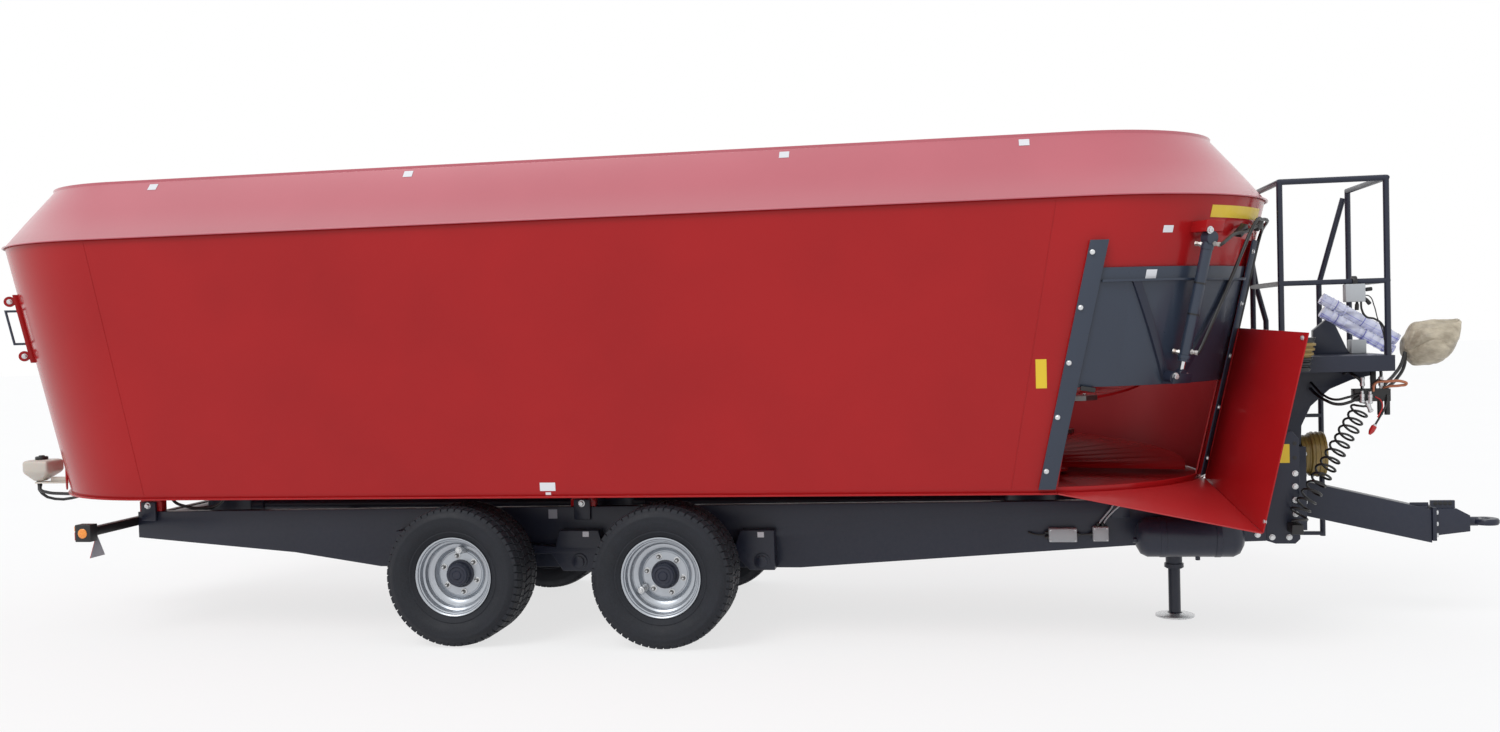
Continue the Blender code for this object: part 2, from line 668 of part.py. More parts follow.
# Platform, railing and ladder
PLAT_Y = (-0.51, 0.42)
DECK_HIGH = 1.77
SKIRT_LOW = 1.67
deck = box("platform", PLAT_X, PLAT_Y, (SKIRT_LOW, DECK_HIGH), GREY)
under_x = (PLAT_X[0] + PLATE_THICK, PLAT_X[1] - PLATE_THICK)
under_y = (PLAT_Y[0] + PLATE_THICK, PLAT_Y[1] - PLATE_THICK)
under = box("under", under_x, under_y, (1.5, DECK_LOW), GREY)
combine(deck, [under], "DIFFERENCE")
RAIL_R = 0.019
MID_R = 0.017
RAIL_TOP = 2.884
RAIL_MID = 2.24
rear_post, front_post = 0.622, 1.257
near, far = -0.485, 0.395
railing = pipe("railing", [
    (rear_post, far, DECK_HIGH - 0.01), (rear_post, far, RAIL_TOP), (rear_post, near, RAIL_TOP),
    (front_post, near, RAIL_TOP), (front_post, far, RAIL_TOP), (front_post, far, DECK_HIGH - 0.01),
], RAIL_R, GREY)
combine(railing, [
    pipe("post", [(rear_post, near, DECK_HIGH - 0.01), (rear_post, near, RAIL_TOP)], RAIL_R, GREY),
    pipe("post", [(front_post, near, DECK_HIGH - 0.01), (front_post, near, RAIL_TOP)], RAIL_R, GREY),
    pipe("mid", [
        (rear_post, far, RAIL_MID), (rear_post, near, RAIL_MID),
        (front_post, near, RAIL_MID), (front_post, far, RAIL_MID),
    ], MID_R, GREY),
], "UNION")
combine(deck, [railing], "UNION", 50)

LADDER_X = (0.74, 1.10)
LADDER_Y = 0.56
STEP_Z = (0.48, 0.76, 1.04, 1.32, 1.60)
ladder = pipe("ladder", [
    (LADDER_X[0], LADDER_Y, 0.46), (LADDER_X[0], LADDER_Y, 2.00),
    (0.68, LADDER_Y, 2.24), (0.632, 0.445, 2.40),
], RAIL_R, GREY)
combine(ladder, [pipe("rail", [
    (LADDER_X[1], LADDER_Y, 0.46), (LADDER_X[1], LADDER_Y, 2.25), (1.240, 0.445, 2.84),
], RAIL_R, GREY)] + [
    box("step", LADDER_X, (LADDER_Y - 0.024, LADDER_Y + 0.015), (z - 0.012, z + 0.012), GREY)
    for z in STEP_Z
] + [
    box("foot", (x - 0.015, x + 0.015), (PLAT_Y[1] + SEAT, LADDER_Y), (1.68, 1.72), GREY) for x in LADDER_X
], "UNION", 50)

# Parking jack
TUBE_TOP = 0.735
TUBE_LOW = 0.33
LEG_R = 0.040
TUBE_BORE = LEG_R + 0.0008
turned("jack_tube", [
    (0, TUBE_TOP), (JACK_TUBE_R, TUBE_TOP), (JACK_TUBE_R, TUBE_LOW), (TUBE_BORE, TUBE_LOW),
    (TUBE_BORE, TUBE_TOP - 0.01), (0, TUBE_TOP - 0.01),
], (0, 0, 0), (0, 0, 1), GREY, 20)
FOOT_R = 0.13
turned("jack_leg", [
    (0, 0), (FOOT_R, 0), (FOOT_R, 0.012), (0.05, 0.024), (LEG_R, 0.03), (LEG_R, 0.52), (0, 0.52),
], (0, 0, 0), (0, 0, 1), GREY, 28)

# Discharge door on its guides
DOOR_IN = 0.014
DOOR_OUT = 0.024
GUIDE_GAP = 0.034
GUIDE_OUT = 0.044
GUIDE_WIDE = 5.0
GUIDE_Z = (1.02, 2.52)
SPACER_DEG = 1.2
SKIN_GAP = 0.0004
# Both guides run the way the door slides, so their angles change a little with height, in degrees a metre
REAR_LEAN = 2.2
FRONT_LEAN = -1.4
REAR_GUIDE = 0.1
FRONT_GUIDE = 64.5


def leaning(degrees, lean):
    """The front end's surface for a strip whose angle changes with height."""
    def skin(part, z, off):
        return front_skin(degrees + part + lean * (z - GUIDE_Z[0]), z, off)
    return skin


for name, start, lean, spacer_at in (
    ("door_guide_rear", REAR_GUIDE, REAR_LEAN, 0),
    ("door_guide_front", FRONT_GUIDE, FRONT_LEAN, GUIDE_WIDE - SPACER_DEG),
):
    skin = leaning(start, lean)
    strip = skin_block(name, skin, (0, GUIDE_WIDE), GUIDE_Z, (GUIDE_GAP, GUIDE_OUT), DOOR_GREY)
    spacer_angles = (spacer_at, spacer_at + SPACER_DEG)
    spacer = skin_block("spacer", skin, spacer_angles, GUIDE_Z, (SKIN_GAP, GUIDE_GAP + 0.004), DOOR_GREY)
    combine(strip, [spacer])

DOOR_CLEAR = 0.75  # degrees between the door's edge and a guide's spacer
door_top = DOOR_REST_Z + DOOR_TALL
door_z = (DOOR_REST_Z, door_top)


def door_skin(degrees, z, off):
    """The door's own surface: its two upright edges lean like the guides."""
    rise = z - GUIDE_Z[0]
    if degrees < DOOR_FROM:
        degrees = REAR_GUIDE + SPACER_DEG + DOOR_CLEAR + REAR_LEAN * rise
    elif degrees > DOOR_TO:
        degrees = FRONT_GUIDE + GUIDE_WIDE - SPACER_DEG - DOOR_CLEAR + FRONT_LEAN * rise
    return front_skin(degrees, z, off)


DOOR_ANGLES = (DOOR_FROM - 1.0, DOOR_TO + 0.1)
door = skin_block("discharge_door", door_skin, DOOR_ANGLES, door_z, (DOOR_IN, DOOR_OUT), DOOR_GREY, 30)
LEDGE = (8.4, 62.0)
ledge_z = (door_top - 0.088, door_top - 0.073)
ledge = skin_block("ledge", front_skin, LEDGE, ledge_z, (DOOR_OUT - 0.004, 0.056), DOOR_GREY)
combine(door, [ledge], "UNION", 30)

# The door slides the way that the hopper's surface leans in the middle of the door
MIDDLE = (DOOR_FROM + DOOR_TO) / 2
slide_way = (front_skin(MIDDLE, 2.4) - front_skin(MIDDLE, 1.2)).normalized()
AXIS_OFF = 0.10
top_pin = front_skin(MIDDLE, 2.545, AXIS_OFF)
BARREL_LONG = 0.785
BARREL_R = 0.034
ROD_R = 0.015
barrel_end = top_pin - slide_way * BARREL_LONG
rod("door_cylinder", top_pin, barrel_end, BARREL_R, GREY, 20, ROD_R + 0.0006, 0.02)
eye_at = top_pin - slide_way * (BARREL_LONG + 0.075)
rod("cylinder_rod", top_pin - slide_way * 0.05, eye_at, ROD_R, STEEL, 16)
CLEVIS_HALF_DEG = 3.2
clevis_at = (MIDDLE - CLEVIS_HALF_DEG, MIDDLE + CLEVIS_HALF_DEG)
clevis_z = (eye_at.z - 0.06, eye_at.z - ROD_R * slide_way.xy.length - SEAT)
clevis = skin_block("clevis", front_skin, clevis_at, clevis_z, (DOOR_OUT - 0.004, 0.125), DOOR_GREY)
BRACE_HALF_DEG = 1.2
BRACE_STEPS = 6
BRACE_TALL = 0.026


def brace(start, end):
    """A flat bar on the door's face between two (angle, height) spots."""
    verts = []
    for k in range(BRACE_STEPS + 1):
        turn = start[0] + (end[0] - start[0]) * k / BRACE_STEPS
        z = start[1] + (end[1] - start[1]) * k / BRACE_STEPS
        for off in (DOOR_OUT - 0.003, DOOR_OUT + BRACE_TALL):
            verts.append(front_skin(turn - BRACE_HALF_DEG, z, off))
            verts.append(front_skin(turn + BRACE_HALF_DEG, z, off))
    return solid("brace", verts, strip_faces(BRACE_STEPS), DOOR_GREY)


brace_top = ledge_z[0] + 0.005
brace_low = eye_at.z - 0.03
braces = [
    brace((LEDGE[0] + 9.6, brace_top), (MIDDLE - 2.6, brace_low)),
    brace((LEDGE[1] - 8.6, brace_top), (MIDDLE + 2.6, brace_low)),
]
combine(door, [clevis] + braces, "UNION", 30)
bracket_low = top_pin.z + BARREL_R * slide_way.xy.length + SEAT
bracket_at = (MIDDLE - 3, MIDDLE + 3)
skin_block("cylinder_bracket", front_skin, bracket_at, (bracket_low, 2.62), (SKIN_GAP, 0.135), RED)

# Chute: sloping floor sheet and side deflector
CHUTE_GAP = 0.0008
CHUTE_THICK = 0.008
CORNER_LOW = Vector((0.33, -1.27, 0.77))
CORNER_HIGH = Vector((0.60, -1.27, 1.935))
CHUTE_TOP_Z = 1.965
chute_edge = leaning(FRONT_GUIDE + GUIDE_WIDE - 0.4, FRONT_LEAN)
inner_low = chute_edge(0, FLOOR_HIGH, GUIDE_OUT + CHUTE_GAP)
inner_low.z = FLOOR_LOW + 0.001
inner_high = chute_edge(0, CHUTE_TOP_Z, GUIDE_OUT + CHUTE_GAP)


def sheet(name, grid, thick, look, smooth=None):
    """A thin sheet from rows of points, thickened along one direction."""
    rows = len(grid)
    columns = len(grid[0])
    top = [Vector(p) for row in grid for p in row]
    verts = top + [p + Vector(thick) for p in top]
    size = rows * columns
    faces = []
    for i in range(rows - 1):
        for j in range(columns - 1):
            a = i * columns + j
            quad = (a, a + 1, a + columns + 1, a + columns)
            for tri in ((quad[0], quad[1], quad[2]), (quad[0], quad[2], quad[3])):
                faces.append(tri)
                faces.append(tuple(v + size for v in tri))
    edge = list(range(columns))
    edge += [i * columns + columns - 1 for i in range(1, rows)]
    edge += [(rows - 1) * columns + j for j in range(columns - 2, -1, -1)]
    edge += [i * columns for i in range(rows - 2, 0, -1)]
    for k in range(len(edge)):
        a = edge[k]
        b = edge[(k + 1) % len(edge)]
        faces.append((a, b, b + size, a + size))
    return solid(name, verts, faces, look, smooth)


sheet("chute_deflector", [[inner_low, inner_high], [CORNER_LOW, CORNER_HIGH]], (CHUTE_THICK, 0, 0), RED)
aside = Vector((2 * SEAT, 0, 0))
sill = [front_skin(a, FLOOR_HIGH, FLOOR_LIP + SEAT) for a in range(DOOR_FROM, DOOR_TO + 1, STEP_DEG)]
sill.append(Vector((inner_low.x, inner_low.y, FLOOR_HIGH)) - aside)
outer_start = front_skin(DOOR_FROM, FLOOR_HIGH, 0.05)
last = len(sill) - 1
outer = [outer_start.lerp(CORNER_LOW - aside, k / last) for k in range(last + 1)]
sheet("chute_floor", [sill, outer], (0, 0, -CHUTE_THICK), RED, 30)

# Air tank, boxes, reservoir and lights
tank = turned("air_tank", [
    (0, -0.33), (0.06, -0.325), (0.105, -0.30), (0.125, -0.26),
    (0.125, 0.26), (0.105, 0.30), (0.06, 0.325), (0, 0.33),
], (0.0, -0.70, 0.655), (1, 0, 0), GREY, 28)
combine(tank, [box("saddle", (-0.24, 0.24), (-0.66, -BEAM_OUT - SEAT), (0.625, 0.685), GREY)], "UNION", 35)
for name, x, z in (
    ("junction_box_large", (-0.86, -0.68), (0.60, 0.69)),
    ("junction_box_small", (-0.58, -0.48), (0.605, 0.70)),
):
    box(name, x, (-BEAM_OUT - 0.055, -BEAM_OUT - SEAT), z, LIGHT_GREY)

BAR_X = (BEAM_REAR_X - 0.06, BEAM_REAR_X - SEAT)
BAR_Z = (0.72, 0.78)
TRIANGLE_Y = 0.93
bar = box("light_bar", BAR_X, (-1.03, 1.03), BAR_Z, BLACK)
for side, way in SIDES:
    lamp_x = (BAR_X[0] - 0.03, BAR_X[1] + 0.03)
    combine(bar, [box("lamp", lamp_x, (way * 1.02, way * 1.10), (0.69, 0.81), BLACK)])
    corners = ((-0.08, 0.56), (0.08, 0.56), (0, BAR_Z[0] - SEAT))
    verts = [(BAR_X[0] + dx, way * (TRIANGLE_Y + dy), z) for dx in (0.01, 0.016) for dy, z in corners]
    faces = [(0, 1, 2), (3, 4, 5), (0, 1, 4, 3), (1, 2, 5, 4), (2, 0, 3, 5)]
    solid("triangle_" + side, verts, faces, RED_LENS)

seat_x = rear_skin(71.5, 1.0455).x - 0.0005
reservoir = box("oil_reservoir", (-8.43, -8.22), (-0.50, -0.30), (1.04, 1.20), PALE)
combine(reservoir, [box("bracket", (-8.40, seat_x), (-0.46, -0.36), (1.03, 1.045), PALE)])

# Counter knives' brackets on the rear corners
KNIFE_DEG = 53
KNIFE_Z = (1.95, 2.45)
for side, way in SIDES:
    def rear_side(degrees, z, off=0.0):
        spot = rear_skin(degrees, z, off)
        return Vector((spot.x, -way * spot.y, spot.z))

    plate_at = (KNIFE_DEG - 1.5, KNIFE_DEG + 1.5)
    knife = skin_block("counter_knife_" + side, rear_side, plate_at, KNIFE_Z, (0.0004, 0.035), RED)
    ear_at = (KNIFE_DEG - 0.9, KNIFE_DEG + 0.9)
    ears = [
        skin_block("ear", rear_side, ear_at, (z - 0.025, z + 0.025), (0.03, 0.085), RED)
        for z in (KNIFE_Z[0] + 0.05, KNIFE_Z[1] - 0.05)
    ]
    grip_low, grip_high = KNIFE_Z[0] + 0.14, KNIFE_Z[1] - 0.12
    grip = pipe("grip", [
        rear_side(KNIFE_DEG, grip_low, 0.03), rear_side(KNIFE_DEG, grip_low, 0.105),
        rear_side(KNIFE_DEG, grip_high, 0.105), rear_side(KNIFE_DEG, grip_high, 0.03),
    ], 0.009, STEEL, 8)
    combine(knife, ears + [grip], "UNION", 40)

# Spare drive shaft, wrapped and stowed over the platform
STOW_R = 0.038
UPPER = (Vector((0.98, 0, 2.145)), Vector((1.452, 0, 1.855)))
STOW_DROP = Vector((0, 0, -0.09))
shaft = rod("stowed_shaft", UPPER[0], UPPER[1], STOW_R, FILM, 16)
stow_way = (UPPER[1] - UPPER[0]).normalized()
lower_end = UPPER[1] + STOW_DROP - stow_way * 0.035
lower = rod("lower", UPPER[0] + STOW_DROP, lower_end, STOW_R, FILM, 16)
band_at = UPPER[0] + stow_way * 0.10 + STOW_DROP / 2
band = rod("band", band_at - Vector((0, 0, 0.03)), band_at + Vector((0, 0, 0.03)), 0.02, FILM, 12)
combine(shaft, [lower, band], "UNION", 35)
turned("stowed_shaft_head", [
    (0, 0), (0.080, 0), (0.105, 0.05), (0.138, 0.12), (0.155, 0.22), (0.155, 0.30), (0.12, 0.355), (0, 0.37),
], (1.4751, 0, 1.812), (1, 0, 0.04), PAPER, 20, 40)


def stow_under(x):
    """The height of the lower tube's underside."""
    slope = (UPPER[1].z - UPPER[0].z) / (UPPER[1].x - UPPER[0].x)
    return UPPER[0].z + STOW_DROP.z + slope * (x - UPPER[0].x) - STOW_R * math.sqrt(1 + slope * slope)


prism("shaft_cradle", [
    (0.92, DECK_HIGH + SEAT), (1.15, DECK_HIGH + SEAT), (1.13, 1.80), (1.06, stow_under(1.06) - 0.0005),
    (1.00, stow_under(1.00) - 0.0005), (0.92, 1.93),
], (-0.03, 0.03), GREY)

# Display box, couplings and cables at the front
display_z = (2.11, RAIL_MID - MID_R * math.cos(math.pi / PIPE_SIDES) - SEAT)
box("display_box", (1.00, 1.12), (near - 0.035, near + 0.035), display_z, LIGHT_GREY)
HOLD_Z = (1.47, 1.55)
holder = box("coupling_holder", (1.09, 1.31), (-0.34, -0.26), HOLD_Z, BLACK)
HOLD_Y = -0.30
drops = [
    rod("valve", (x, HOLD_Y, HOLD_Z[0] + 0.01), (x, HOLD_Y, HOLD_Z[0] - 0.09), 0.018, BLACK, 12)
    for x in (1.255, 1.298)
]
strap = box("strap", (1.20, 1.23), (HOLD_Y - 0.015, HOLD_Y + 0.015), (1.54, DECK_LOW - SEAT), BLACK)
combine(holder, [strap] + drops, "UNION", 40)

COIL_R = 0.065
GLAND_Z = (0.66, 0.72)
coil_route = [
    (1.135, HOLD_Y, HOLD_Z[0] - SEAT), (1.135, HOLD_Y, 1.42), (1.07, -0.35, 1.325), (0.982, -0.42, 1.205),
    (0.909, -0.47, 1.107), (0.837, -0.525, 1.009), (0.762, -0.575, 0.905), (0.705, -0.595, 0.825),
    (0.675, -0.60, 0.76), (0.675, -0.60, GLAND_Z[1] + 0.0015),
]


def curve_tube(name, route, radius, look, rounds):
    """A tube along a smooth curve through the route's points."""
    knots = [Vector(p) for p in route]
    ends = [knots[0] * 2 - knots[1]] + knots + [knots[-1] * 2 - knots[-2]]
    path = []
    for i in range(1, len(ends) - 2):
        steps = max(1, round((ends[i + 1] - ends[i]).length / (radius * 5)))
        for k in range(steps):
            t = k / steps
            a, b, c, d = ends[i - 1], ends[i], ends[i + 1], ends[i + 2]
            bend = 2 * a - 5 * b + 4 * c - d
            twist = 3 * b - a - 3 * c + d
            path.append(0.5 * (2 * b + (c - a) * t + bend * t ** 2 + twist * t ** 3))
    path.append(knots[-1])
    curve = bpy.data.curves.new(name, "CURVE")
    curve.dimensions = "3D"
    curve.bevel_depth = radius
    curve.bevel_resolution = rounds
    curve.use_fill_caps = True
    line = curve.splines.new("POLY")
    line.points.add(len(path) - 1)
    for point, spot in zip(line.points, path):
        point.co = (*spot, 1.0)
    curve.materials.append(look)
    tube = bpy.data.objects.new(name, curve)
    bpy.context.scene.collection.objects.link(tube)
    return tube


curve_tube("curly_cable", coil_route, COIL_R, HOSE, 2)
box("cable_gland", (0.63, 0.70), (-0.645, -HEAD_OUT - SEAT), GLAND_Z, BLACK)

HOSE_R = 0.011
PORT_OUT = 0.034
for name, drop, lane, stand, crest in (
    ("door_hose_upper", 0.06, 74.0, 0.085, 2.60),
    ("door_hose_lower", 0.72, 77.0, 0.125, 2.64),
):
    port = top_pin - slide_way * drop
    ahead = Vector((0.9, -0.35, 0.0))
    ahead = (ahead - slide_way * ahead.dot(slide_way)).normalized()
    start = port + ahead * (PORT_OUT + 0.0006)
    climb = (start.z + crest) / 2
    route = [
        start, start + ahead * 0.04, front_skin(45, climb, stand + 0.02), front_skin(52, crest - 0.04, stand),
        front_skin(60, crest, stand * 0.7), front_skin(67, crest, stand * 0.6),
        front_skin(lane - 2, crest - 0.04, 0.03), front_skin(lane, crest - 0.12, 0.02),
    ]
    route += [front_skin(lane, z, 0.02) for z in (2.3, 1.9, 1.5, 1.2)]
    curve_tube(name, route, HOSE_R, HOSE, 2)
curve_tube("reservoir_hose", [
    (-8.36, -0.41, 1.03 - SEAT), (-8.36, -0.41, 0.98), (-8.30, -0.40, 0.92), (-8.18, -0.38, 0.90),
    (-8.06, -0.36, 0.92), (-7.965, -0.34, 0.94), (-7.95, -0.335, 0.96), (-7.95, -0.335, 0.972),
    (-7.95, -0.335, FLOOR_LOW - 0.0006),
], HOSE_R, HOSE, 2)

# What moves has its origin on its axis
def hinge_on(name, spot):
    """Moves an object's origin to a point of its axis, and leaves its shape where it is."""
    thing = bpy.data.objects[name]
    for vertex in thing.data.vertices:
        vertex.co -= Vector(spot)
    thing.location = spot


for place, x in (("front", front_axle), ("rear", rear_axle)):
    for side, way in SIDES:
        for piece in ("tyre", "rim"):
            hinge_on("%s_%s_%s" % (piece, place, side), (x, way * WHEEL_MID_Y, WHEEL_R))
for name, x in (("auger_front", AUGER_X[0]), ("auger_middle", AUGER_X[1]), ("auger_rear", AUGER_X[2])):
    hinge_on(name, (x, 0, FLOOR_HIGH))
hinge_on("input_shaft", (BULK_X[1], 0, INPUT_Z))
for name in ("discharge_door", "cylinder_rod"):
    hinge_on(name, eye_at)
print("solids", len(bpy.data.objects))
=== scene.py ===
import json
import math

import bmesh
import bpy
from mathutils import Matrix, Vector, noise


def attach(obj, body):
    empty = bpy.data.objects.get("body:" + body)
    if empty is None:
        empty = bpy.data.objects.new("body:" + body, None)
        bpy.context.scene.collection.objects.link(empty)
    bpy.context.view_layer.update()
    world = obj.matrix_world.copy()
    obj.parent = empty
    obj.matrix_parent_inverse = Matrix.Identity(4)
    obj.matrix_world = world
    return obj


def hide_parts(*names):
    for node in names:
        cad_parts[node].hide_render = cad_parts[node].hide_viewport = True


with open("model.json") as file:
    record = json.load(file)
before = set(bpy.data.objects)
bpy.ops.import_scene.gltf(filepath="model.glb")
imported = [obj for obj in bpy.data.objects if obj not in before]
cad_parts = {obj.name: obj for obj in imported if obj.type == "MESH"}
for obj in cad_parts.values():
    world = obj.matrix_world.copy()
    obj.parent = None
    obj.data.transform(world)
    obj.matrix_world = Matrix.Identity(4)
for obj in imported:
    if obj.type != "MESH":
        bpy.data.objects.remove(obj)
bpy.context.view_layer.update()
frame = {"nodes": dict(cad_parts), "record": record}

record = frame["record"]
bodyOf = {node: body for body, nodes in record["behaviour"]["bodies"].items() for node in nodes}
slotOf = {part["node"]: part["material_slot"] for part in record["subparts"]}

# The camera stands at the photograph's place and height
view = {"place": (-1.2725, -9.3692, 2.053), "yaw": -9.904, "pitch": -1.636, "roll": -1.638, "lens": 31.717}


def addCamera():
    yaw, pitch, roll = (math.radians(view[k]) for k in ("yaw", "pitch", "roll"))
    ahead = Vector((math.sin(yaw) * math.cos(pitch), math.cos(yaw) * math.cos(pitch), math.sin(pitch)))
    level = Vector((math.cos(yaw), -math.sin(yaw), 0))
    above = level.cross(ahead)
    right = level * math.cos(roll) + above * math.sin(roll)
    up = above * math.cos(roll) - level * math.sin(roll)
    bpy.ops.object.camera_add(location=view["place"])
    camera = bpy.context.object
    turn = Matrix((right, up, -ahead)).transposed()
    camera.matrix_world = Matrix.Translation(view["place"]) @ turn.to_4x4()
    camera.data.lens = view["lens"]
    camera.data.clip_end = 200
    bpy.context.scene.camera = camera


addCamera()
print("camera done")


# Small tools used on every piece
def choose(*things):
    if bpy.context.object and bpy.context.object.mode != "OBJECT":
        bpy.ops.object.mode_set(mode="OBJECT")
    bpy.ops.object.select_all(action="DESELECT")
    for thing in things:
        thing.select_set(True)
    bpy.context.view_layer.objects.active = things[-1]


def edit(thing):
    choose(thing)
    bpy.ops.object.mode_set(mode="EDIT")


def done():
    bpy.ops.object.mode_set(mode="OBJECT")


def pick(kind, test):
    # selects the vertices, edges or faces of the piece in edit mode whose middle passes the test
    bpy.ops.mesh.select_mode(type=kind)
    bpy.ops.mesh.select_all(action="DESELECT")
    mesh = bmesh.from_edit_mesh(bpy.context.object.data)
    parts = {"VERT": mesh.verts, "EDGE": mesh.edges, "FACE": mesh.faces}[kind]
    for part in parts:
        corners = [part] if kind == "VERT" else part.verts
        middle = sum((v.co for v in corners), Vector()) / len(corners)
        if test(middle):
            part.select_set(True)
    mesh.select_flush_mode()
    bmesh.update_edit_mesh(bpy.context.object.data)


def settle(thing, name):
    choose(thing)
    bpy.ops.object.transform_apply(location=True, rotation=True, scale=True)
    thing.name = name
    thing.data.name = name
    return thing


def applied(thing, kind, **settings):
    choose(thing)
    step = thing.modifiers.new("step", kind)
    for key, value in settings.items():
        setattr(step, key, value)
    bpy.ops.object.modifier_apply(modifier=step.name)
    return thing


def rounded(thing, width, segments=2, angle=35):
    applied(thing, "BEVEL", width=width, segments=segments, limit_method="ANGLE",
            angle_limit=math.radians(angle))
    return smooth(thing, angle)


def smooth(thing, angle=35):
    choose(thing)
    bpy.ops.object.shade_smooth_by_angle(angle=math.radians(angle))
    return thing


def cleaned(thing):
    edit(thing)
    bpy.ops.mesh.select_all(action="SELECT")
    bpy.ops.mesh.remove_doubles(threshold=0.00005)
    bpy.ops.mesh.normals_make_consistent(inside=False)
    done()
    return thing


def joined(name, things):
    if len(things) > 1:
        choose(*things)
        bpy.ops.object.join()
    return settle(things[-1], name)


def ready(thing, look, *nodes, body="wagon"):
    # gives a finished piece its material and its body, and hides the nodes that it stands for
    if look is not None:
        thing.data.materials.clear()
        thing.data.materials.append(look)
    if nodes:
        body, slot = bodyOf[nodes[0]], slotOf[nodes[0]]
    else:
        slot = slotOfLook[look.name]
    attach(thing, body)
    if nodes:
        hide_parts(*nodes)
    return thing


def aimed(thing, place, way):
    turn = Vector((0, 0, 1)).rotation_difference(Vector(way).normalized())
    thing.matrix_world = Matrix.Translation(Vector(place)) @ turn.to_matrix().to_4x4() @ thing.matrix_world
    return thing


def block(low, high, bevel=0.0, segments=2):
    size = [h - l for l, h in zip(low, high)]
    middle = [(h + l) / 2 for l, h in zip(low, high)]
    bpy.ops.mesh.primitive_cube_add(size=1, location=middle)
    thing = bpy.context.object
    thing.scale = size
    settle(thing, "block")
    if bevel:
        rounded(thing, bevel, segments)
    return thing


def lathe(profile, place=(0, 0, 0), way=(0, 0, 1), steps=48, angle=35):
    # turns a chain of (radius, along) points about an axis
    bpy.ops.mesh.primitive_plane_add(size=0.01)
    thing = bpy.context.object
    edit(thing)
    bpy.ops.mesh.select_mode(type="VERT")
    bpy.ops.mesh.select_all(action="SELECT")
    bpy.ops.mesh.merge(type="CENTER")
    radius, along = profile[0]
    bpy.ops.transform.translate(value=(radius, 0, along))
    for (r0, a0), (r1, a1) in zip(profile, profile[1:]):
        bpy.ops.mesh.extrude_vertices_move(TRANSFORM_OT_translate={"value": (r1 - r0, 0, a1 - a0)})
    bpy.ops.mesh.select_all(action="SELECT")
    bpy.ops.mesh.spin(steps=steps, angle=2 * math.pi, center=(0, 0, 0), axis=(0, 0, 1))
    bpy.ops.mesh.select_all(action="SELECT")
    bpy.ops.mesh.remove_doubles(threshold=0.00002)
    bpy.ops.mesh.normals_make_consistent(inside=False)
    done()
    aimed(thing, place, way)
    settle(thing, "turned")
    return smooth(thing, angle)


def hoop(inner, outer, width, place, way, steps=36, angle=35, lip=0.001):
    # a ring round a shaft, with a small lip at both edges
    return lathe([(inner, 0), (outer, lip), (outer, width - lip), (inner, width)], place, way, steps, angle)


def bar(start, end, radius, steps=20, bevel=0.002):
    length = (Vector(end) - Vector(start)).length
    edge = min(bevel, radius * 0.4)
    profile = [(0, 0), (radius - edge, 0), (radius, edge), (radius, length - edge), (radius - edge, length),
               (0, length)]
    return lathe(profile, start, Vector(end) - Vector(start), steps)


def line(name, points, radius):
    # a bent hose, wire or bar along smooth points
    bpy.ops.curve.primitive_bezier_curve_add()
    curve = bpy.context.object
    curve.data.splines.clear()
    spline = curve.data.splines.new("BEZIER")
    spline.bezier_points.add(len(points) - 1)
    for point, place in zip(spline.bezier_points, points):
        point.co = place
        point.handle_left_type = point.handle_right_type = "AUTO"
    curve.data.dimensions = "3D"
    curve.data.resolution_u = 8
    curve.data.bevel_depth = radius
    curve.data.bevel_resolution = 4
    curve.data.use_fill_caps = True
    choose(curve)
    bpy.ops.object.convert(target="MESH")
    thing = settle(bpy.context.object, name)
    cleaned(thing)
    return smooth(thing, 50)


def copyOf(thing):
    twin = thing.copy()
    twin.data = thing.data.copy()
    bpy.context.scene.collection.objects.link(twin)
    return twin


def scattered(name, template, spots):
    # copies a small part to many (place, direction) spots, and leaves the template out
    made = [aimed(copyOf(template), place, way) for place, way in spots]
    bpy.data.objects.remove(template, do_unlink=True)
    return joined(name, made)


def hexBolt(size, head=0.65, washer=1.25):
    # a hex head on a washer, standing along +Z
    bpy.ops.mesh.primitive_cylinder_add(vertices=24, radius=size * washer, depth=size * 0.24,
                                        location=(0, 0, size * 0.1))
    ring = bpy.context.object
    rounded(ring, size * 0.06, 1)
    bpy.ops.mesh.primitive_cylinder_add(vertices=6, radius=size, depth=size * head,
                                        location=(0, 0, size * (0.2 + head / 2)))
    top = bpy.context.object
    edit(top)
    pick("FACE", lambda m: m.z > size * (head * 0.4) and abs(m.x) < size * 0.2 and abs(m.y) < size * 0.2)
    bpy.ops.mesh.inset(thickness=size * 0.14)
    bpy.ops.transform.translate(value=(0, 0, size * 0.1))
    done()
    settle(top, "top")
    return joined("bolt", [ring, top])


def fromCad(node, look, bevel=0.002, angle=35):
    # a copy of a node's solid with merged faces, rounded edges and a finish of its own
    cad = frame["nodes"][node]
    piece = bpy.data.objects.new(node + "Dressed", cad.data.copy())
    bpy.context.scene.collection.objects.link(piece)
    edit(piece)
    bpy.ops.mesh.select_all(action="SELECT")
    bpy.ops.mesh.remove_doubles(threshold=0.00003)
    bpy.ops.mesh.dissolve_limited(angle_limit=math.radians(0.5))
    bpy.ops.mesh.normals_make_consistent(inside=False)
    done()
    if bevel:
        rounded(piece, bevel, 2, angle)
    smooth(piece, angle)
    return ready(piece, look, node)


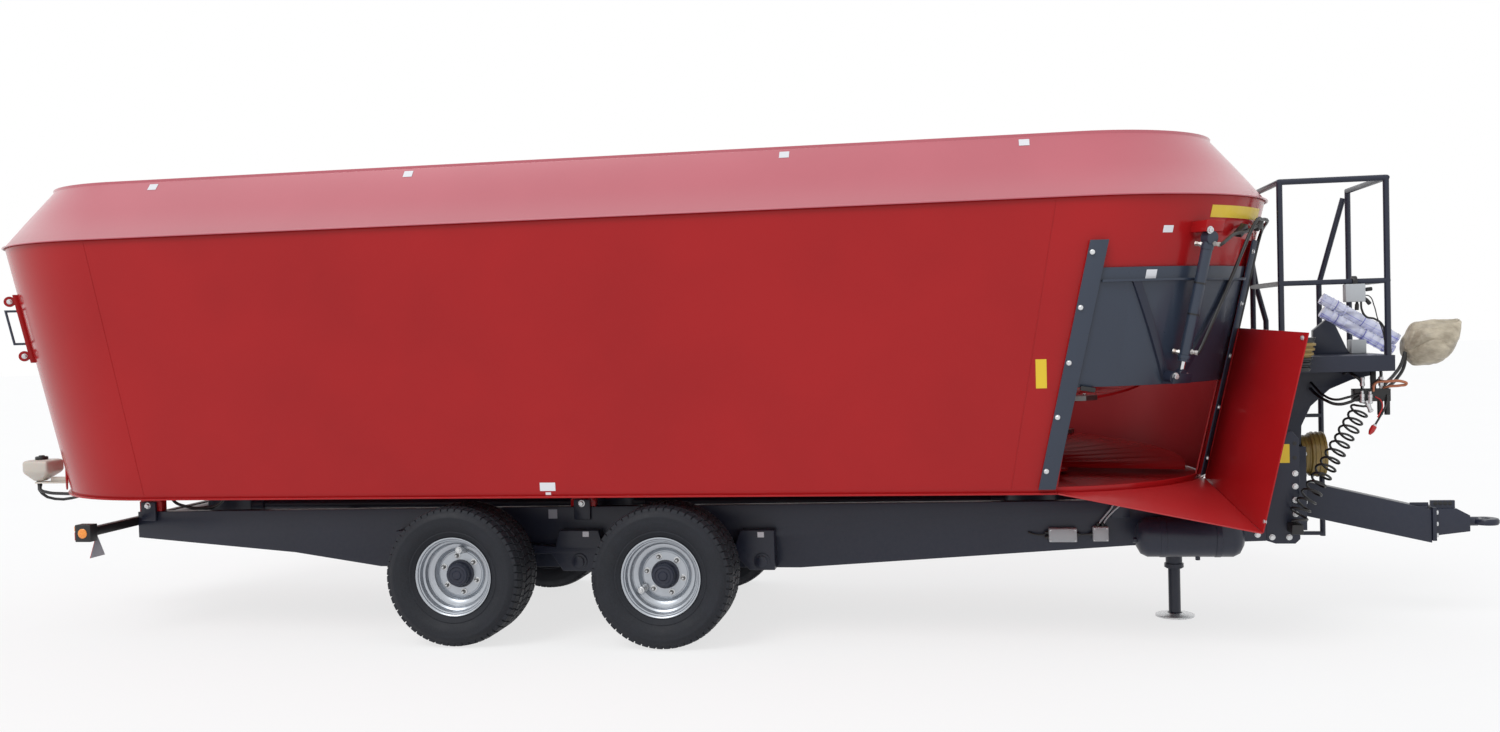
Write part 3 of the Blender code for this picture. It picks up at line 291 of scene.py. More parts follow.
# Materials
def newMaterial(name, colour, roughness, metallic=0.0, **sockets):
    made = bpy.data.materials.new(name)
    made.use_nodes = True
    shader = made.node_tree.nodes["Principled BSDF"]
    shader.inputs["Base Color"].default_value = (*colour, 1)
    shader.inputs["Roughness"].default_value = roughness
    shader.inputs["Metallic"].default_value = metallic
    for socket, value in sockets.items():
        shader.inputs[socket.replace("_", " ")].default_value = value
    return made, made.node_tree, shader


def noiseNode(tree, scale, detail=4.0, stretch=(1, 1, 1), roughness=0.5, vector=None):
    vector = vector or tree.nodes.new("ShaderNodeTexCoord").outputs["Object"]
    mapping = tree.nodes.new("ShaderNodeMapping")
    mapping.inputs["Scale"].default_value = stretch
    cloud = tree.nodes.new("ShaderNodeTexNoise")
    cloud.inputs["Scale"].default_value = scale
    cloud.inputs["Detail"].default_value = detail
    cloud.inputs["Roughness"].default_value = roughness
    tree.links.new(vector, mapping.inputs["Vector"])
    tree.links.new(mapping.outputs["Vector"], cloud.inputs["Vector"])
    return cloud


def ranged(tree, source, fromLow, fromHigh, toLow, toHigh):
    step = tree.nodes.new("ShaderNodeMapRange")
    for socket, value in zip(("From Min", "From Max", "To Min", "To Max"),
                             (fromLow, fromHigh, toLow, toHigh)):
        step.inputs[socket].default_value = value
    tree.links.new(source, step.inputs["Value"])
    return step.outputs["Result"]


def mixed(tree, factor, first, second):
    step = tree.nodes.new("ShaderNodeMix")
    step.data_type = "RGBA"
    tree.links.new(factor, step.inputs["Factor"])
    for socket, value in (("A", first), ("B", second)):
        target = next(s for s in step.inputs if s.name == socket and s.type == "RGBA")
        if isinstance(value, tuple):
            target.default_value = (*value, 1)
        else:
            tree.links.new(value, target)
    return next(s for s in step.outputs if s.type == "RGBA")


def blended(tree, cloud, low, high, first, second, most=1):
    # goes from the first colour to the second as the cloud goes from low to high
    return mixed(tree, ranged(tree, cloud.outputs["Fac"], low, high, 0, most), first, second)


def combined(tree, operation, first, second):
    step = tree.nodes.new("ShaderNodeMath")
    step.operation = operation
    tree.links.new(first, step.inputs[0])
    tree.links.new(second, step.inputs[1])
    return step.outputs[0]


def bumped(tree, shader, height, strength, distance):
    bump = tree.nodes.new("ShaderNodeBump")
    bump.inputs["Strength"].default_value = strength
    bump.inputs["Distance"].default_value = distance
    tree.links.new(height, bump.inputs["Height"])
    tree.links.new(bump.outputs["Normal"], shader.inputs["Normal"])


def lowDust(tree, top, bottom):
    # 1 near the ground and 0 above the splash line
    place = tree.nodes.new("ShaderNodeTexCoord")
    split = tree.nodes.new("ShaderNodeSeparateXYZ")
    tree.links.new(place.outputs["Object"], split.inputs["Vector"])
    return ranged(tree, split.outputs["Z"], top, bottom, 0, 1)


def paint(name, colour, tint, roughness, spread, peel=0.15, dust=0.0, dustColour=(0.16, 0.14, 0.12),
          metallic=0.0, **sockets):
    # sprayed paint: slow colour drift, uneven gloss, fine orange peel and a little road dust low down
    made, tree, shader = newMaterial(name, colour, roughness, metallic, **sockets)
    drift = noiseNode(tree, 1.3, 5)
    fleck = noiseNode(tree, 38, 6, roughness=0.7)
    colourOut = blended(tree, drift, 0.35, 0.68, colour, tint)
    if dust:
        specks = ranged(tree, fleck.outputs["Fac"], 0.35, 0.75, 0, dust)
        low = combined(tree, "MULTIPLY", lowDust(tree, 1.15, 0.25), specks)
        colourOut = mixed(tree, low, colourOut, dustColour)
    tree.links.new(colourOut, shader.inputs["Base Color"])
    gloss = ranged(tree, fleck.outputs["Fac"], 0.3, 0.75, roughness - spread, roughness + spread)
    tree.links.new(gloss, shader.inputs["Roughness"])
    grain = noiseNode(tree, 260, 2)
    bumped(tree, shader, grain.outputs["Fac"], peel, 0.0006)
    return made


redPaint = paint("redPaint", (0.375, 0.01, 0.012), (0.34, 0.009, 0.011), 0.2, 0.03, 0.04,
                 Specular_IOR_Level=0.24)
# The collar is the wall's red paint; its lighter, pinker colour here is a painted sky reflection.
collarSkyReflectionRed = paint("collarSkyReflectionRed", (0.47, 0.072, 0.105), (0.44, 0.064, 0.094), 0.34, 0.03, 0.03,
                    Specular_IOR_Level=0.8, Coat_Weight=0.7, Coat_Roughness=0.22)
redInside = paint("redInside", (0.34, 0.02, 0.024), (0.27, 0.016, 0.018), 0.38, 0.05, 0.03)
greyPaint = paint("greyPaint", (0.017, 0.0215, 0.04), (0.014, 0.0175, 0.033), 0.36, 0.06, 0.1, dust=0.25,
                  dustColour=(0.07, 0.068, 0.074), Specular_IOR_Level=0.4)
doorGrey = paint("doorGrey", (0.031, 0.042, 0.066), (0.026, 0.036, 0.058), 0.3, 0.03, 0.02,
                 Specular_IOR_Level=0.45)
guideGrey = paint("guideGrey", (0.031, 0.042, 0.066), (0.027, 0.037, 0.06), 0.55, 0.04, 0.02,
                  Specular_IOR_Level=0.12)
silverPaint = paint("silverPaint", (0.5, 0.53, 0.57), (0.45, 0.48, 0.52), 0.34, 0.03, 0.02, dust=0.1,
                    metallic=0.8)
blackPlastic = paint("blackPlastic", (0.01, 0.01, 0.011), (0.016, 0.016, 0.017), 0.42, 0.1, 0.2)
paleBox = paint("paleBox", (0.42, 0.44, 0.46), (0.38, 0.4, 0.41), 0.45, 0.08, 0.2)
olivePaint = paint("olivePaint", (0.3, 0.205, 0.055), (0.23, 0.155, 0.04), 0.36, 0.08, 0.1)
reservoirShell = paint("reservoirShell", (0.62, 0.58, 0.51), (0.52, 0.48, 0.42), 0.42, 0.06, 0.15,
                       Subsurface_Weight=0.1)
zinc = paint("zinc", (0.72, 0.73, 0.74), (0.58, 0.59, 0.6), 0.3, 0.1, 0.15, metallic=0.7)
chrome = paint("chrome", (0.7, 0.71, 0.72), (0.66, 0.67, 0.68), 0.12, 0.04, 0.02, metallic=1.0)
knifeSteel = paint("knifeSteel", (0.1, 0.1, 0.105), (0.17, 0.165, 0.16), 0.35, 0.1, 0.2, metallic=0.8)
hoseRubber = paint("hoseRubber", (0.008, 0.008, 0.009), (0.013, 0.013, 0.014), 0.4, 0.08, 0.1)
paleCable = paint("paleCable", (0.42, 0.43, 0.45), (0.36, 0.37, 0.39), 0.42, 0.06, 0.1)
copperLine = paint("copperLine", (0.5, 0.19, 0.1), (0.4, 0.14, 0.07), 0.3, 0.08, 0.1, metallic=0.4)
# The chute floor is the wall's red paint made a little lighter: painted light on the upward-facing floor.
chuteRedPaintedLight = paint("chuteRedPaintedLight", (0.4, 0.014, 0.016), (0.36, 0.012, 0.014), 0.36, 0.03, 0.01,
                 Specular_IOR_Level=0.6)
filmBand = paint("filmBand", (0.16, 0.16, 0.46), (0.12, 0.12, 0.38), 0.25, 0.05, 0.05)
redCap = paint("redCap", (0.5, 0.02, 0.02), (0.42, 0.015, 0.015), 0.35, 0.06, 0.1)
whiteLabel = paint("whiteLabel", (0.74, 0.75, 0.78), (0.68, 0.69, 0.72), 0.35, 0.05, 0.05)
yellowLabel = paint("yellowLabel", (0.78, 0.56, 0.02), (0.72, 0.5, 0.02), 0.35, 0.05, 0.05)
greyLabel = paint("greyLabel", (0.36, 0.38, 0.42), (0.31, 0.33, 0.37), 0.35, 0.05, 0.05)
redLens = paint("redLens", (0.5, 0.014, 0.01), (0.42, 0.01, 0.008), 0.15, 0.04, 0.3, Coat_Weight=0.6)


def splineSteel():
    # machined steel: fine turning marks and a few brown stains
    made, tree, shader = newMaterial("splineSteel", (0.4, 0.39, 0.38), 0.35, 0.8)
    stain = noiseNode(tree, 30, 6)
    scratch = noiseNode(tree, 160, 3, stretch=(1, 0.2, 0.2))
    steel = blended(tree, scratch, 0.3, 0.7, (0.45, 0.44, 0.43), (0.28, 0.27, 0.26))
    colour = blended(tree, stain, 0.5, 0.66, steel, (0.16, 0.08, 0.04), 0.6)
    tree.links.new(colour, shader.inputs["Base Color"])
    tree.links.new(ranged(tree, scratch.outputs["Fac"], 0.3, 0.7, 0.25, 0.5), shader.inputs["Roughness"])
    bumped(tree, shader, scratch.outputs["Fac"], 0.2, 0.0006)
    return made


def tyreRubber():
    # dusty rubber: a grey dust film in random patches; the blue tint of the rubber and of the film is painted
    # sky sheen
    made, tree, shader = newMaterial("tyreRubber", (0.012, 0.013, 0.016), 0.7, Specular_IOR_Level=0.35)
    film = noiseNode(tree, 7, 6, roughness=0.65)
    speck = noiseNode(tree, 120, 4)
    # blue-tinted black: painted sky sheen in the rubber's colour
    base = blended(tree, speck, 0.3, 0.7, (0.0075, 0.009, 0.013), (0.014, 0.016, 0.022))
    colour = blended(tree, film, 0.45, 0.75, base, (0.036, 0.039, 0.048), 0.45)
    tree.links.new(colour, shader.inputs["Base Color"])
    tree.links.new(ranged(tree, film.outputs["Fac"], 0.3, 0.7, 0.5, 0.8), shader.inputs["Roughness"])
    bumped(tree, shader, speck.outputs["Fac"], 0.35, 0.0012)
    return made


def tanPaper():
    # brown wrapping paper with soft creases; its colour is darker in the crease hollows and lighter on the
    # ridges, painted shade and light
    made, tree, shader = newMaterial("tanPaper", (0.4, 0.29, 0.16), 0.6, Coat_Weight=0.25,
                                     Coat_Roughness=0.3)
    creaseAndShade = noiseNode(tree, 16, 8, stretch=(0.5, 1, 1), roughness=0.62)
    # the same noise as the bump: dark in the hollows is painted shade, light on the ridges is painted light
    colour = blended(tree, creaseAndShade, 0.35, 0.68, (0.29, 0.245, 0.175), (0.58, 0.51, 0.385))
    tree.links.new(colour, shader.inputs["Base Color"])
    tree.links.new(ranged(tree, creaseAndShade.outputs["Fac"], 0.3, 0.7, 0.35, 0.7), shader.inputs["Roughness"])
    bumped(tree, shader, creaseAndShade.outputs["Fac"], 0.7, 0.012)
    return made


def blueFilm():
    # clear film wound round tubes: pale, with painted blue shadows in long creases that run along the tubes
    # and patches of painted white sheen
    made, tree, shader = newMaterial("blueFilm", (0.7, 0.73, 0.95), 0.2, Coat_Weight=0.5,
                                     Coat_Roughness=0.12, Transmission_Weight=0.55, IOR=1.15)
    place = tree.nodes.new("ShaderNodeTexCoord")
    turned = tree.nodes.new("ShaderNodeMapping")
    turned.inputs["Rotation"].default_value = (0, math.radians(-31.6), 0)
    tree.links.new(place.outputs["Object"], turned.inputs["Vector"])
    creaseAndShade = noiseNode(tree, 60, 4, (0.03, 1, 1), vector=turned.outputs["Vector"])
    cloud = noiseNode(tree, 22, 4, (0.1, 1, 1), vector=turned.outputs["Vector"])
    # blue in the crease hollows: painted shade
    creaseShadeColour = blended(tree, creaseAndShade, 0.36, 0.46, (0.26, 0.27, 0.78), (0.76, 0.79, 0.96))
    # pale patches over it: painted white sheen
    colour = blended(tree, cloud, 0.5, 0.65, creaseShadeColour, (0.92, 0.93, 0.99), 0.7)
    tree.links.new(colour, shader.inputs["Base Color"])
    bumped(tree, shader, creaseAndShade.outputs["Fac"], 0.4, 0.003)
    return made


def orangeLens():
    # moulded reflector: rings of prisms under clear orange plastic
    made, tree, shader = newMaterial("orangeLens", (0.86, 0.26, 0.015), 0.16, Coat_Weight=0.7,
                                     Coat_Roughness=0.08)
    cell = noiseNode(tree, 220, 2)
    colour = blended(tree, cell, 0.35, 0.65, (0.8, 0.2, 0.01), (0.95, 0.36, 0.03))
    tree.links.new(colour, shader.inputs["Base Color"])
    bumped(tree, shader, cell.outputs["Fac"], 0.4, 0.002)
    return made


steel = splineSteel()
rubber = tyreRubber()
paper = tanPaper()
film = blueFilm()
orange = orangeLens()
slotOfLook = {look: slot for slot, looks in {
    "red_paint": "redPaint redCap", "anthracite_paint": "greyPaint doorGrey",
    "silver_rim_paint": "silverPaint",
    "tyre_rubber": "tyreRubber", "bare_steel": "zinc splineSteel knifeSteel", "black_plastic": "blackPlastic",
    "hose_rubber": "hoseRubber copperLine", "light_grey_box": "paleBox paleCable",
    "olive_guard": "olivePaint",
    "pale_plastic": "reservoirShell whiteLabel yellowLabel greyLabel", "blue_film": "blueFilm filmBand",
    "tan_paper": "tanPaper", "red_reflector": "orangeLens redLens",
}.items() for look in looks.split()}
print("materials done")

# The curly cable from the coupling holder down to the gland; its route is the one in the part's source
curly = {
    "route": [
        (1.135, -0.3, 1.4697), (1.135, -0.3, 1.42), (1.07, -0.35, 1.325), (0.982, -0.42, 1.205),
        (0.909, -0.47, 1.107),
        (0.837, -0.525, 1.009), (0.762, -0.575, 0.905), (0.705, -0.595, 0.825), (0.675, -0.6, 0.76),
        (0.675, -0.6, 0.7215),
    ],
    "turns": 15,
    "coilRadius": 0.054,
    "cableRadius": 0.0075,
    "pointsPerTurn": 18,
    "leadShare": 0.035,
}


def alongRoute(points, count):
    # evenly spaced places and directions on a smooth curve through the points
    knots = [Vector(p) for p in points]
    ends = [knots[0] * 2 - knots[1]] + knots + [knots[-1] * 2 - knots[-2]]
    path = []
    for i in range(1, len(ends) - 2):
        a, b, c, d = ends[i - 1], ends[i], ends[i + 1], ends[i + 2]
        for k in range(40):
            t = k / 40
            place = 2 * b + (c - a) * t
            place = place + (2 * a - 5 * b + 4 * c - d) * t ** 2
            place = place + (3 * b - a - 3 * c + d) * t ** 3
            path.append(0.5 * place)
    path.append(knots[-1])
    lengths = [0.0]
    for p, q in zip(path, path[1:]):
        lengths.append(lengths[-1] + (q - p).length)
    spots = []
    j = 0
    for k in range(count + 1):
        reach = lengths[-1] * k / count
        while j < len(path) - 2 and lengths[j + 1] < reach:
            j += 1
        part = (reach - lengths[j]) / max(lengths[j + 1] - lengths[j], 1e-9)
        spots.append((path[j].lerp(path[j + 1], part), (path[j + 1] - path[j]).normalized()))
    return spots


def curlyCable():
    count = curly["turns"] * curly["pointsPerTurn"]
    spots = alongRoute(curly["route"], count)
    side = Vector((0, 1, 0))
    places = []
    for k, (place, way) in enumerate(spots):
        side = (side - way * side.dot(way)).normalized()
        across = way.cross(side)
        turn = 2 * math.pi * k / curly["pointsPerTurn"]
        share = k / count
        swell = min(share / curly["leadShare"], (1 - share) / curly["leadShare"], 1.0)
        swell = swell * swell * (3 - 2 * swell)
        radius = curly["coilRadius"] * swell * (1 + 0.05 * math.sin(turn * 0.37))
        places.append(place + (side * math.cos(turn) + across * math.sin(turn)) * radius)
    curve = bpy.data.curves.new("curlyCable", "CURVE")
    curve.dimensions = "3D"
    curve.bevel_depth = curly["cableRadius"]
    curve.bevel_resolution = 3
    curve.use_fill_caps = True
    spline = curve.splines.new("POLY")
    spline.points.add(len(places) - 1)
    for point, place in zip(spline.points, places):
        point.co = (*place, 1)
    thing = bpy.data.objects.new("curlyCable", curve)
    bpy.context.scene.collection.objects.link(thing)
    spline.use_smooth = True
    ready(thing, hoseRubber, "curly_cable")


curlyCable()
print("cords done")

# Hopper: an oval shell, modelled as a quarter and mirrored
hopper = {
    "floorZ": 0.9973, "openLowZ": 1.03, "openHighZ": 1.745, "seamZ": 2.78, "topZ": 3.215,
    "lowRadius": 1.13, "seamRadius": 1.25, "topRadius": 0.915,
    "frontX": -0.95, "rearX": -6.98, "endLean": 0.305, "sheet": 0.01,
    "doorFrom": 6, "doorTo": 66, "arcStep": 3,
}


def hopperShare(z):
    return (z - 0.997) / (hopper["seamZ"] - 0.997)


def hopperRadius(z):
    return hopper["lowRadius"] + (hopper["seamRadius"] - hopper["lowRadius"]) * hopperShare(z)


def frontCentre(z):
    return hopper["frontX"] + hopper["endLean"] * hopperShare(z)


def rearCentre(z):
    return hopper["rearX"] - hopper["endLean"] * hopperShare(z)


def frontSkin(degrees, z, off=0.0):
    turn = math.radians(degrees)
    reach = hopperRadius(z) + off
    return Vector((frontCentre(z) + reach * math.sin(turn), -reach * math.cos(turn), z))


def rearSkin(degrees, z, off=0.0):
    turn = math.radians(degrees)
    reach = hopperRadius(z) + off
    return Vector((rearCentre(z) - reach * math.sin(turn), -reach * math.cos(turn), z))


def ovalQuarter(rings):
    # sweeps (radius, z, front centre) rings up a quarter of the oval, out to the mirror plane
    middle = (hopper["frontX"] + hopper["rearX"]) / 2
    radius, z, centre = rings[0]
    bpy.ops.mesh.primitive_circle_add(vertices=360 // hopper["arcStep"], radius=radius,
                                      location=(centre, 0, z))
    thing = bpy.context.object
    settle(thing, "quarter")
    edit(thing)
    pick("VERT", lambda m: m.x < centre - 0.0001 or m.y > 0.0001)
    bpy.ops.mesh.delete(type="VERT")
    pick("VERT", lambda m: abs(m.x - centre) < 0.0002)
    bpy.ops.mesh.extrude_vertices_move(TRANSFORM_OT_translate={"value": (middle - centre, 0, 0)})
    for (r0, z0, c0), (r1, z1, c1) in zip(rings, rings[1:]):
        pick("EDGE", lambda m: abs(m.z - z0) < 0.00005)
        bpy.ops.mesh.extrude_region_move(TRANSFORM_OT_translate={"value": (0, 0, z1 - z0)})
        pick("VERT", lambda m: abs(m.z - z1) < 0.00005)
        bpy.ops.transform.resize(value=(r1 / r0, r1 / r0, 1), center_override=(c0, 0, z1))
        bpy.ops.transform.translate(value=(c1 - c0, 0, 0))
        pick("VERT", lambda m: abs(m.z - z1) < 0.00005 and m.x < c1 - 0.01)
        bpy.ops.transform.resize(value=(0, 1, 1), center_override=(middle, 0, z1))
    done()
    thing.matrix_world = Matrix.Translation((-middle, 0, 0))
    settle(thing, "quarter")
    applied(thing, "MIRROR", use_axis=(True, True, False), merge_threshold=0.0001)
    thing.matrix_world = Matrix.Translation((middle, 0, 0))
    return cleaned(settle(thing, "oval"))


def sheeted(thing, name, outside, node):
    # gives a skin its thickness, with one finish outside and another inside
    thing.data.materials.append(outside)
    thing.data.materials.append(redInside)
    applied(thing, "SOLIDIFY", thickness=hopper["sheet"], offset=-1, material_offset=1)
    rounded(thing, 0.0015, 2, 40)
    thing.name = name
    return ready(thing, None, node)


def hopperWall():
    heights = [hopper["floorZ"], hopper["openLowZ"], 1.4, hopper["openHighZ"], 2.1, 2.45,
               hopper["seamZ"] + 0.006]
    thing = ovalQuarter([(hopperRadius(z), z, frontCentre(z)) for z in heights])

    def inDoor(m):
        centre = frontCentre(m.z)
        angle = math.degrees(math.atan2(m.x - centre, -m.y))
        inHeight = hopper["openLowZ"] < m.z < hopper["openHighZ"]
        return inHeight and hopper["doorFrom"] < angle < hopper["doorTo"]

    edit(thing)
    pick("FACE", inDoor)
    bpy.ops.mesh.delete(type="FACE")
    done()
    return sheeted(thing, "hopperShell", redPaint, "hopper_wall")


def hopperCollar():
    seam, top = hopper["seamZ"], hopper["topZ"]
    centre = frontCentre(seam)
    rings = [
        (hopper["seamRadius"] + 0.0225, seam + 0.002, centre),
        (hopper["seamRadius"] + 0.0225, seam + 0.01, centre),
        (hopper["seamRadius"] + 0.002, seam + 0.016, centre),
        (hopper["topRadius"] + 0.17, seam + 0.22, centre),
        (hopper["topRadius"] + 0.004, top - 0.02, centre),
        (hopper["topRadius"] + 0.007, top - 0.001, centre),
    ]
    return sheeted(ovalQuarter(rings), "collarShell", collarSkyReflectionRed, "hopper_collar")


hopperWall()
hopperCollar()
print("hopper done")

# Wheels: tyre with tread blocks, deep silver rim, hub cap, nuts and valve
wheel = {
    "radius": 0.4655, "midY": 0.9825, "axles": {"front": -3.33, "rear": -4.74},
    "pitches": 58, "grooveDepth": 0.011, "nutCircle": 0.123, "nuts": 6, "discAt": 0.035,
}


def tyreTemplate():
    # along +Z is outward; the tread stands on a carcass whose sides bulge
    deep = wheel["radius"] - wheel["grooveDepth"]
    side = [
        (0.2625, 0.162), (0.272, 0.17), (0.28, 0.176), (0.292, 0.183), (0.296, 0.1885), (0.302, 0.1895),
        (0.306, 0.187), (0.325, 0.2), (0.35, 0.2115), (0.372, 0.2165), (0.392, 0.2165), (0.398, 0.2185),
        (0.404, 0.2165), (0.42, 0.209), (0.436, 0.196), (0.446, 0.183), (deep - 0.002, 0.165),
        (deep + 0.002, 0.13), (deep + 0.003, 0.07),
    ]
    profile = side + [(deep + 0.0035, 0)] + [(r, -a) for r, a in reversed(side)]
    carcass = lathe(profile, steps=104, angle=50)
    pitch = 2 * math.pi / wheel["pitches"]
    ribs = [
        # across, half width, share of the pitch, turn along the pitch, slant, low edge
        (-0.158, 0.026, 0.82, 0.5, 0.008, 0.01),
        (-0.0885, 0.034, 0.84, 0.0, 0.014, 0),
        (0.0, 0.042, 0.84, 0.5, -0.016, 0),
        (0.0885, 0.034, 0.84, 0.0, 0.014, 0),
        (0.158, 0.026, 0.82, 0.5, 0.008, 0.01),
    ]
    blocks = []
    for across, half, share, turn, slant, drop in ribs:
        wide = wheel["radius"] * pitch * share
        rib = block((-wide / 2, -half, deep - 0.004), (wide / 2, half, wheel["radius"] - 0.0005))
        edit(rib)
        pick("VERT", lambda m: m.y > 0)
        bpy.ops.transform.translate(value=(slant, 0, 0))
        if drop:
            outer = 1 if across > 0 else -1
            pick("VERT", lambda m: m.y * outer > 0 and m.z > deep + 0.002)
            bpy.ops.transform.translate(value=(0, outer * 0.008, -drop))
            pick("VERT", lambda m: m.y * outer > 0 and m.z < deep)
            bpy.ops.transform.translate(value=(0, outer * 0.016, -drop - 0.014))
        done()
        rounded(rib, 0.003, 1, 30)
        rib.matrix_world = Matrix.Rotation(turn * pitch, 4, "Y") @ Matrix.Translation((0, across, 0))
        blocks.append(rib)
    tread = joined("tread", blocks)
    tread.matrix_world = Matrix.Rotation(math.radians(90), 4, "X")
    settle(tread, "tread")
    bpy.ops.object.empty_add()
    step = bpy.context.object
    step.rotation_euler = (0, 0, pitch)
    bpy.context.view_layer.update()
    applied(tread, "ARRAY", count=wheel["pitches"], use_relative_offset=False, use_object_offset=True,
            offset_object=step)
    bpy.data.objects.remove(step, do_unlink=True)
    return joined("tyre", [tread, carcass])


def rimTemplate():
    disc = wheel["discAt"]
    profile = [
        (0.0, disc - 0.002), (0.06, disc - 0.002), (0.06, disc), (0.146, disc), (0.149, disc - 0.003),
        (0.155, disc - 0.004),
        (0.16, disc - 0.01), (0.164, disc - 0.012), (0.168, disc + 0.004), (0.176, disc + 0.022),
        (0.188, disc + 0.03),
        (0.204, disc + 0.034), (0.212, disc + 0.042), (0.214, disc + 0.06), (0.22, disc + 0.074),
        (0.232, disc + 0.082),
        (0.234, disc + 0.096), (0.236, 0.148), (0.24, 0.154), (0.252, 0.158), (0.258, 0.1625),
        (0.262, 0.168),
        (0.262, 0.171), (0.258, 0.172), (0.254, 0.17), (0.249, 0.1655), (0.2455, 0.157), (0.2455, -0.15),
        (0.262, -0.168), (0.255, -0.17),
        (0.238, -0.15), (0.2365, -0.02), (0.215, disc - 0.02), (0.12, disc - 0.02), (0.118, -0.035),
        (0.08, -0.2), (0.0, -0.2),
    ]
    body = lathe(profile, steps=96, angle=30)
    nuts = []
    for k in range(wheel["nuts"]):
        turn = 2 * math.pi * (k + 0.4) / wheel["nuts"]
        nuts.append(((wheel["nutCircle"] * math.cos(turn), wheel["nutCircle"] * math.sin(turn), disc),
                     (0, 0, 1)))
    studs = scattered("studs", bar((0, 0, 0), (0, 0, 0.03), 0.0075, 12), nuts)
    seat = lathe([(0.0, 0), (0.022, 0), (0.022, 0.003), (0.02, 0.004), (0.0, 0.004)], steps=24)
    seats = scattered("seats", seat, nuts)
    nutSet = scattered("nuts", hexBolt(0.0145, 0.9, 1.05), nuts)
    cap = lathe([
        (0.0, disc + 0.078), (0.026, disc + 0.077), (0.032, disc + 0.07), (0.05, disc + 0.069),
        (0.055, disc + 0.074),
        (0.068, disc + 0.072), (0.075, disc + 0.062), (0.078, disc + 0.02), (0.084, disc + 0.014),
        (0.092, disc + 0.012),
        (0.094, disc + 0.0), (0.0, disc + 0.0),
    ], steps=48, angle=30)
    stem = [bar((0.158, 0.02, disc + 0.004), (0.172, 0.022, disc + 0.085), 0.024, 24, 0.004),
            bar((0.172, 0.022, disc + 0.084), (0.1735, 0.022, disc + 0.092), 0.014, 20)]
    plate = block((0.15, -0.004, disc + 0.0), (0.205, 0.044, disc + 0.004), 0.001)
    turnUp = block((0.15, -0.004, disc), (0.154, 0.044, disc + 0.045), 0.001)
    valve = joined("valve", stem + [plate, turnUp])
    return body, nutSet, joined("nutSeats", [studs, seats]), cap, valve


def placeWheels():
    tyre = tyreTemplate()
    body, nutSet, seats, cap, valve = rimTemplate()
    kit = [
        (tyre, "tyre", rubber), (body, "rim", silverPaint), (nutSet, "wheelNuts", knifeSteel),
        (seats, "nutSeats", zinc), (cap, "hubCap", greyPaint), (valve, "valve", zinc),
    ]
    spin = {"front_right": 205, "rear_right": 75, "front_left": 20, "rear_left": 140}
    for place, x in wheel["axles"].items():
        for side, way in (("right", -1), ("left", 1)):
            tag = place + "_" + side
            centre = Matrix.Translation((x, way * wheel["midY"], wheel["radius"]))
            out = Matrix.Rotation(math.radians(90 if way < 0 else -90), 4, "X")
            turn = Matrix.Rotation(math.radians(spin[tag]), 4, "Z")
            for template, name, look in kit:
                piece = copyOf(template)
                piece.matrix_world = centre @ out @ turn
                settle(piece, name + "_" + tag)
                nodes = {"tyre": ["tyre_" + tag], "rim": ["rim_" + tag]}.get(name, [])
                ready(piece, look, *nodes, body="wheel_" + tag)
    for template, *_ in kit:
        bpy.data.objects.remove(template, do_unlink=True)


placeWheels()
print("wheels done")

# Second finishes and small parts
def second(piece, look, test):
    # gives the faces whose middle passes the test another finish
    piece.data.materials.append(look)
    edit(piece)
    pick("FACE", test)
    piece.active_material_index = len(piece.data.materials) - 1
    bpy.ops.object.material_slot_assign()
    done()
    return piece


def frontOff(m):
    # how far a place stands off the hopper's front end
    return math.hypot(m.x - frontCentre(m.z), m.y) - hopperRadius(m.z)


def skinWay(degrees, rear=False):
    turn = math.radians(degrees)
    way = Vector((math.sin(turn), -math.cos(turn), -(0.0673 + 0.171 * math.sin(turn)))).normalized()
    return Vector((-way.x, way.y, way.z)) if rear else way


def mirrored(spots):
    # the same places on the wagon's other side
    twins = [((p[0], -p[1], p[2]), (w[0], -w[1], w[2])) for p, w in spots]
    return list(spots) + twins


def bolts(name, size, spots, head=0.65, body="wagon"):
    return ready(scattered(name, hexBolt(size, head), spots), zinc, body=body)


def part(name, shapes, look, body="wagon"):
    # one finished piece of a shape or a list of shapes
    shapes = shapes if isinstance(shapes, list) else [shapes]
    return ready(joined(name, shapes), look, body=body)


def skinLabel(name, skin, angles, heights, look, off, body="wagon"):
    # a thin blank sticker that follows a curved sheet
    bpy.ops.mesh.primitive_grid_add(x_subdivisions=10, y_subdivisions=2, size=1)
    thing = bpy.context.object
    for v in thing.data.vertices:
        turn = angles[0] + (angles[1] - angles[0]) * (v.co.x + 0.5)
        v.co = skin(turn, heights[0] + (heights[1] - heights[0]) * (v.co.y + 0.5), off)
    cleaned(thing)
    applied(thing, "SOLIDIFY", thickness=0.0006, offset=0)
    return part(name, thing, look, body)


